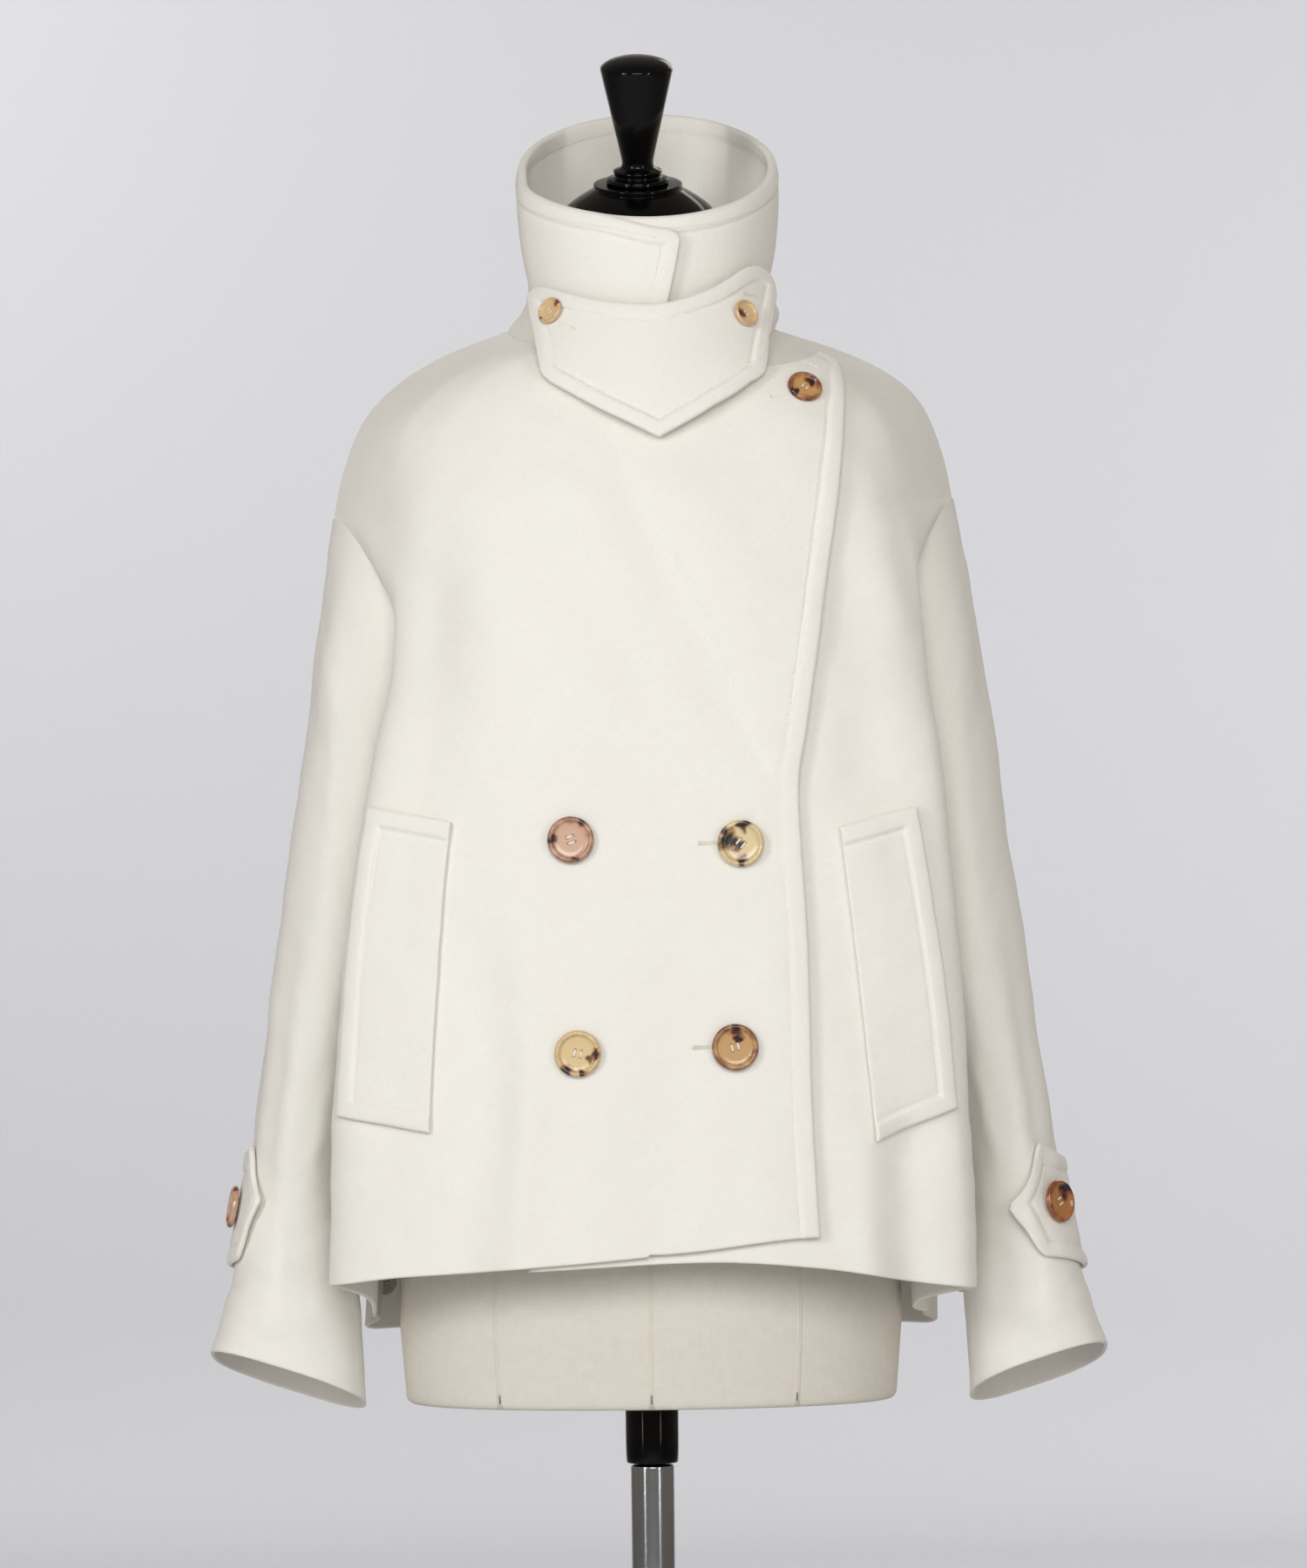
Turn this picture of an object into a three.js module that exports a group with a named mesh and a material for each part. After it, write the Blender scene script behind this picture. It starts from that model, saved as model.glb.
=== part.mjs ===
// Double-breasted coat of thick brushed wool, worn by a limbless dress form on a pole stand.
// Millimetres, +Z up, the wearer faces -Y. The origin is under the middle of the stand's base.
import * as THREE from 'three';

// ---- driving dimensions ----
const CLOTH = 3;            // wall of the coat's panels
const SEAM = 0.35;          // gap between two sewn pieces
const OVERLAP_STEP = 5.4;   // how far the upper front stands over the lower front
const LOOSE = 0.8;          // gap under a piece that lies on a panel
const STRAP_LOOSE = 1;
const BORDER = 12;          // width of the raised, topstitched edges
const BORDER_RISE = 0.9;
const UNDER_EDGE_X = -77;   // free edge of the lower front
const HEM_Z = 680;          // level where the body's surface starts, below all hems
const MAIN_BUTTON = { radius: 15, height: 4.6 };
const CUFF_BUTTON = { radius: 14, height: 4.2 };
const LAPEL_BUTTON = { radius: 11.5, height: 4 };
const FLAP_BUTTON = { radius: 9, height: 3.4 };
const POLE_RADIUS = 14.3;
const BASE_RADIUS = 190;

const COLOURS = {
  wool: [0xece6d9, 0.95, 0],
  horn: [0xa9763f, 0.3, 0],
  clear: [0xd8d8d6, 0.15, 0],
  linen: [0xe4dccb, 0.9, 0],
  black: [0x0b0b0c, 0.15, 0],
  chrome: [0xc9ccd0, 0.12, 1],
  base: [0x141416, 0.35, 0],
};

// ---- smooth tables ----
// A cubic through (knot, value) pairs; its slopes are those of the neighbours' chords.
function cubic(knots, values, at) {
  const last = knots.length - 1;
  let i = 0;
  while (i < last - 1 && at > knots[i + 1]) i += 1;
  const slope = (k) => {
    const a = Math.max(0, k - 1);
    const b = Math.min(last, k + 1);
    return (values[b] - values[a]) / (knots[b] - knots[a]);
  };
  const step = knots[i + 1] - knots[i];
  const w = (at - knots[i]) / step;
  const w2 = w * w;
  const w3 = w2 * w;
  return values[i] * (2 * w3 - 3 * w2 + 1) + values[i + 1] * (3 * w2 - 2 * w3)
    + step * (slope(i) * (w3 - 2 * w2 + w) + slope(i + 1) * (w3 - w2));
}

function column(table, name) {
  return table.map((row) => row[name]);
}

function look(table, key, name, at) {
  return cubic(column(table, key), column(table, name), at);
}

function smooth(edge0, edge1, x) {
  const w = Math.min(1, Math.max(0, (x - edge0) / (edge1 - edge0)));
  return w * w * (3 - 2 * w);
}

// ---- the body's outer surface ----
// One row for each level of the body, from below the hem to the neck seam.
//   v level; front, back: heights at the centre front and back; F, K: depths there;
//   ridgeL, ridgeR, ridgeY: where the front turns back beside the sleeve; rearX, rearY: the same behind.
const LEVEL_NAMES = ['v', 'front', 'back', 'F', 'K', 'ridgeL', 'ridgeR', 'ridgeY', 'rearX', 'rearY'];
const LEVELS = [
  [0.00, 680, 680, 154, 150, 208, 211, -94, 192, 92],
  [0.16, 780, 780, 152, 145, 206, 209, -94, 190, 90],
  [0.31, 880, 880, 149, 137, 201, 206, -94, 187, 87],
  [0.46, 980, 980, 146, 127, 191, 200, -94, 183, 84],
  [0.62, 1082, 1082, 143, 117, 174, 190, -94, 176, 83],
  [0.74, 1160, 1165, 138, 111, 158, 180, -90, 171, 80],
  [0.85, 1230, 1238, 127, 105, 158, 166, -80, 168, 76],
  [0.905, 1266, 1280, 116, 99, 154, 158, -72, 158, 72],
  [0.95, 1295, 1318, 105, 92, 131, 136, -66, 134, 66],
  [0.98, 1313, 1345, 97, 84, 100, 106, -62, 104, 60],
  [1.00, 1324, 1362, 91, 78, 68, 78, -58, 74, 52],
].map((row) => Object.fromEntries(LEVEL_NAMES.map((name, i) => [name, row[i]])));
const V_UNDERARM = 0.62;
const V_SLEEVE_TOP = 0.85;
// The side seam below the underarm: z and half width.
const SIDE = [
  { v: 0.00, z: 680, x: 185, y: 0 },
  { v: 0.16, z: 780, x: 178, y: 1 },
  { v: 0.31, z: 880, x: 162, y: 3 },
  { v: 0.46, z: 980, x: 144, y: 7 },
  { v: 0.62, z: 1080, x: 138, y: 12 },
];
// The shoulder seam from the sleeve's top to the neck.
const SHOULDER = [
  { v: 0.85, x: 204, z: 1233, y: 8 },
  { v: 0.88, x: 198, z: 1262, y: 6 },
  { v: 0.91, x: 185, z: 1295, y: 4 },
  { v: 0.94, x: 164, z: 1319, y: 3 },
  { v: 0.97, x: 132, z: 1339, y: 2 },
  { v: 1.00, x: 88, z: 1356, y: 2 },
];
const RIGHT_SHOULDER_RISE = 9;
const ARMHOLE = {
  topY: 8, bottomY: 12, frontDepth: 68, backDepth: 60, scoopFront: { left: 16, right: 10 }, scoopBack: 6,
};

function shoulderRise(side, v) {
  return side > 0 ? RIGHT_SHOULDER_RISE * (1 - smooth(0.9, 1, v)) * smooth(0.62, 0.85, v) : 0;
}

// The end of a row: on the side seam, on the armhole or on the shoulder seam.
function sideLine(side, face, v) {
  if (v <= V_UNDERARM) {
    const x = look(SIDE, 'v', 'x', v);
    return new THREE.Vector3(side * x, look(SIDE, 'v', 'y', v), look(SIDE, 'v', 'z', v));
  }
  if (v <= V_SLEEVE_TOP) {
    const angle = Math.PI * (v - V_UNDERARM) / (V_SLEEVE_TOP - V_UNDERARM);
    return armhole(side, face, angle);
  }
  const x = look(SHOULDER, 'v', 'x', v) + (side > 0 ? 2 * (1 - smooth(0.9, 1, v)) : 0);
  const z = look(SHOULDER, 'v', 'z', v) + shoulderRise(side, v);
  return new THREE.Vector3(side * x, look(SHOULDER, 'v', 'y', v), z);
}

// The armhole seam: angle 0 at the underarm, PI at the shoulder; face -1 in front, +1 behind.
function armhole(side, face, angle) {
  const low = SIDE[SIDE.length - 1];
  const top = SHOULDER[0];
  const topX = top.x + (side > 0 ? 2 : 0);
  const topZ = top.z + shoulderRise(side, V_SLEEVE_TOP);
  const c = Math.cos(angle);
  const s = Math.sin(angle);
  const scoop = face < 0 ? ARMHOLE.scoopFront[side > 0 ? 'right' : 'left'] : ARMHOLE.scoopBack;
  const x = (low.x + topX) / 2 + c * (low.x - topX) / 2 - scoop * s;
  const y = (ARMHOLE.bottomY + ARMHOLE.topY) / 2 + c * (ARMHOLE.bottomY - ARMHOLE.topY) / 2
    + face * (face < 0 ? ARMHOLE.frontDepth : ARMHOLE.backDepth) * s;
  const z = (low.z + topZ) / 2 + c * (low.z - topZ) / 2;
  return new THREE.Vector3(side * x, y, z);
}

const ROW_KNOTS = [0, 0.3, 0.58, 0.8, 0.9, 1];

// A point of the body: face -1 front, +1 back; p from 0 at the centre to 1 (or -1) at the side.
function bodyPoint(face, p, v) {
  const side = p < 0 ? -1 : 1;
  const q = Math.abs(p);
  const end = sideLine(side, face, v);
  const depth = face < 0 ? look(LEVELS, 'v', 'F', v) : look(LEVELS, 'v', 'K', v);
  const centreZ = face < 0 ? look(LEVELS, 'v', 'front', v) : look(LEVELS, 'v', 'back', v);
  const frontRidge = side > 0 ? 'ridgeR' : 'ridgeL';
  const turnX = look(LEVELS, 'v', face < 0 ? frontRidge : 'rearX', v);
  const turnY = look(LEVELS, 'v', face < 0 ? 'ridgeY' : 'rearY', v);
  const drop = depth - Math.abs(turnY);
  const endX = Math.abs(end.x);
  const tuck = lerp(0.97, 0.6, smooth(0.62, 0.85, v));
  const xs = [0, 0.41 * turnX, 0.77 * turnX, turnX, turnX + tuck * (endX - turnX), endX];
  const ys = [face * depth, face * (depth - 0.07 * drop), face * (depth - 0.4 * drop), turnY,
    turnY + 0.5 * (end.y - turnY), end.y];
  const x = cubic(ROW_KNOTS, xs, q);
  const y = q < 0.3 ? mirroredStart(ys, q) : cubic(ROW_KNOTS, ys, q);
  const z = centreZ + (end.z - centreZ) * q ** 3;
  return new THREE.Vector3(side * x, y, z);
}

// The first stretch of a row, with a level start so that both halves meet smoothly.
function mirroredStart(ys, q) {
  const step = ROW_KNOTS[1];
  const w = q / step;
  const slope = (ys[2] - ys[0]) / ROW_KNOTS[2];
  const w2 = w * w;
  const w3 = w2 * w;
  return ys[0] * (2 * w3 - 3 * w2 + 1) + ys[1] * (3 * w2 - 2 * w3) + step * slope * (w3 - w2);
}

function bodyNormal(face, p, v) {
  const d = 0.004;
  const p0 = Math.max(-1, p - d);
  const p1 = Math.min(1, p + d);
  const v1 = Math.min(1, v + d);
  const v0 = v - d;
  const across = bodyPoint(face, p1, v).sub(bodyPoint(face, p0, v));
  const up = bodyPoint(face, p, v1).sub(bodyPoint(face, p, v0));
  return up.cross(across).multiplyScalar(face).normalize();
}

// The place (p, v) on the front whose front view is (x, z), by Newton steps.
function locate(x, z) {
  let p = THREE.MathUtils.clamp(x / 220, -0.75, 0.75);
  let v = THREE.MathUtils.clamp((z - HEM_Z) / 660, 0, 0.97);
  const d = 0.001;
  for (let n = 0; n < 30; n += 1) {
    const here = bodyPoint(-1, p, v);
    const alongP = bodyPoint(-1, p + d, v).sub(here).divideScalar(d);
    const alongV = bodyPoint(-1, p, v + d).sub(here).divideScalar(d);
    const det = alongP.x * alongV.z - alongV.x * alongP.z;
    const dx = x - here.x;
    const dz = z - here.z;
    p = THREE.MathUtils.clamp(p + 0.7 * (dx * alongV.z - dz * alongV.x) / det, -0.86, 0.86);
    v = THREE.MathUtils.clamp(v + 0.7 * (dz * alongP.x - dx * alongP.z) / det, -0.05, 0.998);
  }
  return [p, v];
}

// ---- folds of the fronts ----
// Soft troughs (negative depth) and ridges between two places of the front view.
const FRONT_FOLDS = [
  { x0: -100, z0: 1010, x1: -112, z1: 735, width: 20, depth: -5 },
  { x0: -76, z0: 960, x1: -80, z1: 740, width: 12, depth: 3.5 },
  { x0: -28, z0: 1290, x1: 82, z1: 1045, width: 16, depth: -3 },
  { x0: -66, z0: 1250, x1: 20, z1: 1060, width: 16, depth: -2.5 },
  { x0: 146, z0: 1270, x1: 168, z1: 1120, width: 14, depth: 3 },
  { x0: 120, z0: 1230, x1: 150, z1: 1010, width: 18, depth: -3 },
  { x0: 140, z0: 818, x1: 152, z1: 730, width: 16, depth: -5 },
  { x0: 172, z0: 850, x1: 184, z1: 730, width: 12, depth: 3 },
  { x0: -150, z0: 1280, x1: -152, z1: 1120, width: 14, depth: 2.5 },
  { x0: -120, z0: 1240, x1: -140, z1: 1060, width: 20, depth: -3 },
];
const BACK_FOLDS = [
  { x0: -60, z0: 1180, x1: -92, z1: 700, width: 22, depth: -6 },
  { x0: 48, z0: 1120, x1: 84, z1: 700, width: 24, depth: -6 },
  { x0: -8, z0: 1090, x1: -14, z1: 700, width: 26, depth: 5 },
  { x0: 132, z0: 1080, x1: 146, z1: 700, width: 18, depth: 4 },
  { x0: -130, z0: 1060, x1: -140, z1: 700, width: 18, depth: 4 },
  { x0: -150, z0: 1250, x1: -120, z1: 1120, width: 14, depth: -3 },
  { x0: 150, z0: 1250, x1: 118, z1: 1110, width: 14, depth: -3 },
];

function foldHeight(folds, x, z) {
  let height = 0;
  for (const f of folds) {
    const length = Math.hypot(f.x1 - f.x0, f.z1 - f.z0);
    const ux = (f.x1 - f.x0) / length;
    const uz = (f.z1 - f.z0) / length;
    const along = ((x - f.x0) * ux + (z - f.z0) * uz) / length;
    const off = (x - f.x0) * uz - (z - f.z0) * ux;
    const reach = smooth(0, 0.35, along) * (1 - (f.z1 > 745 ? smooth(0.7, 1, along) : 0));
    height += f.depth * reach * Math.exp(-((off / f.width) ** 2));
  }
  return height;
}

// ---- closed walls ----
// A closed body between two grids of points, outer[row][col] and inner[row][col].
function wall(outer, inner, loop = false) {
  const rows = outer.length;
  const cols = outer[0].length;
  const position = [];
  for (const grid of [outer, inner]) {
    for (const row of grid) {
      for (const point of row) position.push(point.x, point.y, point.z);
    }
  }
  const index = [];
  const id = (layer, r, c) => layer * rows * cols + r * cols + (c % cols);
  const quad = (a, b, c, d) => index.push(a, b, c, a, c, d);
  const lastCol = loop ? cols : cols - 1;
  for (let r = 0; r < rows - 1; r += 1) {
    for (let c = 0; c < lastCol; c += 1) {
      quad(id(0, r, c), id(0, r, c + 1), id(0, r + 1, c + 1), id(0, r + 1, c));
      quad(id(1, r, c), id(1, r + 1, c), id(1, r + 1, c + 1), id(1, r, c + 1));
    }
  }
  for (let c = 0; c < lastCol; c += 1) {
    quad(id(0, 0, c), id(1, 0, c), id(1, 0, c + 1), id(0, 0, c + 1));
    quad(id(0, rows - 1, c), id(0, rows - 1, c + 1), id(1, rows - 1, c + 1), id(1, rows - 1, c));
  }
  if (!loop) {
    for (let r = 0; r < rows - 1; r += 1) {
      quad(id(0, r, 0), id(0, r + 1, 0), id(1, r + 1, 0), id(1, r, 0));
      quad(id(0, r, cols - 1), id(1, r, cols - 1), id(1, r + 1, cols - 1), id(0, r + 1, cols - 1));
    }
  }
  return closed(position, index);
}

// A geometry from points and triangles, turned so that its faces point out.
function closed(position, index) {
  let volume = 0;
  const corner = (i) => new THREE.Vector3().fromArray(position, 3 * i);
  for (let i = 0; i < index.length; i += 3) {
    volume += corner(index[i]).dot(corner(index[i + 1]).cross(corner(index[i + 2])));
  }
  if (volume < 0) {
    for (let i = 0; i < index.length; i += 3) [index[i], index[i + 1]] = [index[i + 1], index[i]];
  }
  const geometry = new THREE.BufferGeometry();
  geometry.setAttribute('position', new THREE.Float32BufferAttribute(position, 3));
  geometry.setIndex(index);
  return geometry;
}

const coat = new THREE.Group();
coat.name = 'double_breasted_coat';

function add(name, geometry, finish, parent = coat) {
  const [color, roughness, metalness] = COLOURS[finish];
  const mesh = new THREE.Mesh(geometry, new THREE.MeshStandardMaterial({ color, roughness, metalness }));
  mesh.name = name;
  parent.add(mesh);
  return mesh;
}

// ---- panels ----
// How far the upper front stands out: nothing at the side, all of it over the lower front's edge.
const STEP_WIDTH = 75;

function overlapStep(x, p) {
  const fromShoulder = p < 0 ? smooth(0.05, 0.35, 1 + p) : 1;
  return OVERLAP_STEP * smooth(UNDER_EDGE_X - STEP_WIDTH, UNDER_EDGE_X - 4, x) * fromShoulder;
}

// Height of the surface over the plain body at a place of the front view.
function frontHeight(x, z, upper) {
  return (upper ? overlapStep(x, 0) : 0) + foldHeight(FRONT_FOLDS, x, z);
}

function seamNormal(side, v) {
  const p = side * 0.999;
  return bodyNormal(-1, p, v).add(bodyNormal(1, p, v)).normalize();
}

// Builds one panel from a grid of (p, v) places; its folds fade out at the side and at the neck.
function panel(face, places, folds, stepAt, raiseAt) {
  const outer = [];
  const inner = [];
  for (let r = 0; r < places.length; r += 1) {
    outer.push([]);
    inner.push([]);
    for (let c = 0; c < places[r].length; c += 1) {
      const [p, v] = places[r][c];
      const base = bodyPoint(face, p, v);
      const atSide = Math.abs(p) > 0.998;
      const normal = atSide ? seamNormal(Math.sign(p), v) : bodyNormal(face, p, v);
      if (atSide) base.addScaledVector(inward(face, p, v, normal), SEAM / 2);
      const fade = smooth(0, 0.06, 1 - Math.abs(p)) * (1 - smooth(0.97, 1, v));
      const height = stepAt(base.x, p) + foldHeight(folds, base.x, base.z) * fade;
      outer[r].push(base.clone().addScaledVector(normal, height + raiseAt(r, c)));
      inner[r].push(base.clone().addScaledVector(normal, height - CLOTH));
    }
  }
  return wall(outer, inner);
}

// The direction along the surface from a side seam into the panel.
function inward(face, p, v, normal) {
  const near = bodyPoint(face, p, v);
  const far = bodyPoint(face, p * 0.985, v);
  const direction = far.sub(near);
  direction.addScaledVector(normal, -direction.dot(normal));
  return direction.normalize();
}

function lerp(a, b, w) {
  return a + (b - a) * w;
}

function fractions(count) {
  return Array.from({ length: count + 1 }, (_, i) => i / count);
}

// Points along a broken line of (x, z) places, at fraction w of its table.
function along(table, w) {
  return { x: look(table, 'w', 'x', w), z: look(table, 'w', 'z', w) };
}

// The upper front's free edge from the hem's corner to the lapel's corner.
const OVER_EDGE = [
  { w: 0.00, x: 108, z: 762 },
  { w: 0.14, x: 104, z: 850 },
  { w: 0.34, x: 102.5, z: 955 },
  { w: 0.48, x: 98, z: 1046 },
  { w: 0.60, x: 104, z: 1090 },
  { w: 0.74, x: 117, z: 1178 },
  { w: 0.85, x: 126, z: 1245 },
  { w: 0.95, x: 131, z: 1310 },
  { w: 1.00, x: 123, z: 1338 },
];
// Hems in the front view: the upper front climbs towards its corner.
const OVER_HEM = [
  { x: -208, z: 732 }, { x: -165, z: 738 }, { x: -110, z: 742 }, { x: 0, z: 751 }, { x: 108, z: 762 },
];
const UNDER_HEM = [
  { x: -80, z: 742 }, { x: 40, z: 747 }, { x: 110, z: 742 }, { x: 165, z: 733 }, { x: 211, z: 726 },
];
const SIDE_HEM_Z = 706;
const BACK_HEM_Z = 692;

function hemLevel(table, p) {
  const q = Math.abs(p);
  const side = Math.sign(p) || 1;
  const rim = 0.8;
  const edge = side < 0 ? table[0] : table[table.length - 1];
  let z;
  if (q > rim) {
    z = lerp(edge.z, SIDE_HEM_Z, smooth(rim, 1, q));
  } else {
    const x = bodyPoint(-1, p, 0.09).x;
    z = look(table, 'x', 'z', THREE.MathUtils.clamp(x, table[0].x, table[table.length - 1].x));
  }
  return levelOf(-1, p, z);
}

// The level v at which the surface has height z.
function levelOf(face, p, z) {
  let low = -0.1;
  let high = 0.6;
  for (let n = 0; n < 24; n += 1) {
    const middle = (low + high) / 2;
    if (bodyPoint(face, p, middle).z < z) low = middle;
    else high = middle;
  }
  return (low + high) / 2;
}

const ARMHOLE_ROWS = 6;
const ROW_STEPS = [0, 0.015, 0.1, 0.19, 0.28, 0.38, 0.47, 0.55]
  .concat(fractions(ARMHOLE_ROWS).map((w) => lerp(V_UNDERARM, V_SLEEVE_TOP, w)))
  .concat([0.885, 0.92, 0.96, 0.985, 1]);

function frontOver() {
  const columns = [
    -1, -0.95, -0.9, -0.85, -0.82, -0.79, -0.75, -0.68, -0.6, -0.53, -0.46, -0.41, -0.36, -0.3, -0.22, -0.1, 0,
  ];
  const edgePlaces = ROW_STEPS.map((v) => {
    const place = along(OVER_EDGE, edgeFraction(v));
    return locate(place.x, place.z);
  });
  const inside = [0.35, 0.68];
  const borders = [BORDER + 3, BORDER, BORDER - 2, 2.5, 0];
  const places = ROW_STEPS.map((v, r) => {
    const row = columns.map((p) => [p, rowLevel(v, hemLevel(OVER_HEM, p))]);
    const [pe, ve] = edgePlaces[r];
    const width = Math.max(20, bodyPoint(-1, pe, ve).x - bodyPoint(-1, 0, ve).x);
    const extra = inside.map((w) => w * (1 - (BORDER + 3) / width)).concat(borders.map((b) => 1 - b / width));
    const hem = rowLevel(v, hemLevel(OVER_HEM, 0.05));
    for (const w of extra) row.push([pe * w, lerp(hem, ve, w * w * (3 - 2 * w))]);
    return row;
  });
  const first = columns.length + inside.length;
  const raise = [0, 0, BORDER_RISE, BORDER_RISE, 0];
  return panel(-1, places, FRONT_FOLDS, overlapStep, (r, c) => (c < first ? 0 : raise[c - first]));
}

// How far up its free edge the upper front's row at level v ends.
function edgeFraction(v) {
  return cubic([0, 0.3, 0.62, 0.85, 1], [0, 0.34, 0.63, 0.86, 1], v);
}

// Rows start at the hem and reach their own level above the pockets.
function rowLevel(v, hem) {
  return v + hem * (1 - smooth(0, 0.6, v));
}

function frontUnder() {
  const columns = [0, 0.1, 0.2, 0.3, 0.4, 0.48, 0.56, 0.62, 0.68, 0.75, 0.79, 0.82, 0.85, 0.9, 0.95, 1];
  const places = ROW_STEPS.map((v) => {
    const hemAt = (p) => rowLevel(v, hemLevel(UNDER_HEM, p));
    const z = bodyPoint(-1, -0.2, Math.min(0.97, hemAt(-0.2))).z;
    const edge = locate(lerp(UNDER_EDGE_X, -52, smooth(1150, 1330, z)), z)[0];
    const start = [0, 0.3, 0.65].map((w) => [edge * (1 - w), hemAt(edge * (1 - w))]);
    return start.concat(columns.map((p) => [p, hemAt(p)]));
  });
  return panel(-1, places, FRONT_FOLDS, () => 0, () => 0);
}

function back() {
  const half = [0, 0.12, 0.24, 0.36, 0.48, 0.6, 0.7, 0.77, 0.81, 0.85, 0.9, 0.95, 1];
  const columns = half.slice(1).reverse().map((p) => -p).concat(half);
  const places = ROW_STEPS.map((v) => columns.map((p) => {
    const z = lerp(BACK_HEM_Z, SIDE_HEM_Z, smooth(0.75, 1, Math.abs(p)));
    return [p, rowLevel(v, levelOf(1, p, z))];
  }));
  return panel(1, places, BACK_FOLDS, () => 0, () => 0);
}

// ---- sleeves ----
// Rings below the armhole: outer and inner side in the front view, middle and half depth in y,
// lift: how much higher the ring's front is than its middle.
const SLEEVES = {
  left: [
    { outX: 214, outZ: 1165, inX: 145, inZ: 1040, y: 3, depth: 62, lift: 0 },
    { outX: 224, outZ: 1085, inX: 151, inZ: 985, y: 2, depth: 60, lift: 0 },
    { outX: 237, outZ: 995, inX: 164, inZ: 925, y: 1, depth: 59, lift: 0 },
    { outX: 251, outZ: 905, inX: 181, inZ: 868, y: 0, depth: 59, lift: 0 },
    { outX: 262, outZ: 815, inX: 197, inZ: 803, y: -3, depth: 57, lift: 0 },
    { outX: 269, outZ: 770, inX: 195, inZ: 760, y: -4, depth: 55, lift: 2 },
    { outX: 278, outZ: 722, inX: 191, inZ: 704, y: -4, depth: 55, lift: 7 },
    { outX: 291, outZ: 682, inX: 188, inZ: 649, y: -2, depth: 56, lift: 11 },
  ],
  right: [
    { outX: 219, outZ: 1175, inX: 145, inZ: 1045, y: 3, depth: 62, lift: 0 },
    { outX: 230, outZ: 1095, inX: 152, inZ: 990, y: 2, depth: 60, lift: 0 },
    { outX: 242, outZ: 1000, inX: 168, inZ: 930, y: 1, depth: 59, lift: 0 },
    { outX: 256, outZ: 905, inX: 188, inZ: 870, y: 0, depth: 59, lift: 0 },
    { outX: 268, outZ: 815, inX: 206, inZ: 803, y: -3, depth: 57, lift: 0 },
    { outX: 276, outZ: 770, inX: 206, inZ: 759, y: -4, depth: 55, lift: 2 },
    { outX: 287, outZ: 721, inX: 207, inZ: 705, y: -4, depth: 55, lift: 7 },
    { outX: 301, outZ: 680, inX: 210, inZ: 651, y: -2, depth: 55, lift: 13 },
  ],
};
const SLEEVE_FOLDS = [
  { angle: 2.2, s0: 0.15, s1: 0.75, width: 0.35, depth: -5 },
  { angle: 0.9, s0: 0.3, s1: 0.8, width: 0.3, depth: -3 },
  { angle: 1.5, s0: 0.55, s1: 1.05, width: 0.3, depth: 3 },
  { angle: -1.2, s0: 0.2, s1: 0.7, width: 0.35, depth: -5 },
  { angle: -2.1, s0: 0.5, s1: 0.95, width: 0.3, depth: -4 },
  { angle: 0.35, s0: 0.0, s1: 0.3, width: 0.3, depth: -2.5 },
];

// The point of a ring at an angle: 0 outside, PI/2 in front, PI inside; slightly squared.
function ringPoint(side, ring, angle) {
  const c = Math.cos(angle);
  const s = Math.sin(angle);
  const across = Math.sign(c) * Math.abs(c) ** 0.88;
  const ahead = Math.sign(s) * Math.abs(s) ** 0.88;
  const x = (ring.outX + ring.inX) / 2 + across * (ring.outX - ring.inX) / 2;
  const z = (ring.outZ + ring.inZ) / 2 + across * (ring.outZ - ring.inZ) / 2 + ahead * ring.lift;
  return new THREE.Vector3(side * x, ring.y - ahead * ring.depth, z);
}

// The armhole seen from the sleeve: which panel is met at an angle, and at which level.
function armholePlace(angle) {
  const face = Math.sin(angle) >= 0 ? -1 : 1;
  const seamAngle = Math.PI - Math.abs(Math.atan2(Math.sin(angle), Math.cos(angle)));
  return { face, seamAngle, v: lerp(V_UNDERARM, V_SLEEVE_TOP, seamAngle / Math.PI) };
}

// The sleeve's first ring, just outside the body's armhole edge.
function sleeveStart(side, angle) {
  const { face, seamAngle, v } = armholePlace(angle);
  const point = armhole(side, face, seamAngle);
  const normal = seamAngleNormal(side, face, v);
  const away = inward(face, side, v, normal).negate();
  const gap = SEAM * (1.5 + 1.7 * smooth(0.55, 0.8, seamAngle / Math.PI));
  return point.addScaledVector(normal, SEAM).addScaledVector(away, gap);
}

// The direction of the sleeve's sewn edge: the panel's own where both cloths lie side by side.
function startNormal(side, angle) {
  const { face, v } = armholePlace(angle);
  const own = sleeveNormal(side, angle, 0);
  const panelNormal = seamAngleNormal(side, face, v);
  const share = face > 0 ? 1 : 0.25;
  return own.lerp(panelNormal, share * smooth(-0.2, 0.5, own.dot(panelNormal))).normalize();
}

function seamAngleNormal(side, face, v) {
  const own = bodyNormal(face, side * 0.999, v);
  const shared = seamNormal(side, v);
  const edge = Math.min((v - V_UNDERARM) / 0.03, (V_SLEEVE_TOP - v) / 0.03);
  return own.lerp(shared, 1 - smooth(0, 1, edge)).normalize();
}

function sleevePoint(side, angle, s) {
  const rings = SLEEVES[side > 0 ? 'right' : 'left'];
  const points = [sleeveStart(side, angle)].concat(rings.map((ring) => ringPoint(side, ring, angle)));
  const knots = points.map((_, i) => i / rings.length);
  return new THREE.Vector3(
    cubic(knots, points.map((q) => q.x), s),
    cubic(knots, points.map((q) => q.y), s),
    cubic(knots, points.map((q) => q.z), s),
  );
}

function sleeveNormal(side, angle, s) {
  const d = 0.01;
  const s0 = Math.max(0, s - d);
  const s1 = Math.min(1, s + d);
  const around = sleevePoint(side, angle + d, s).sub(sleevePoint(side, angle - d, s));
  const down = sleevePoint(side, angle, s1).sub(sleevePoint(side, angle, s0));
  return around.cross(down).multiplyScalar(side).normalize();
}

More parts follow.
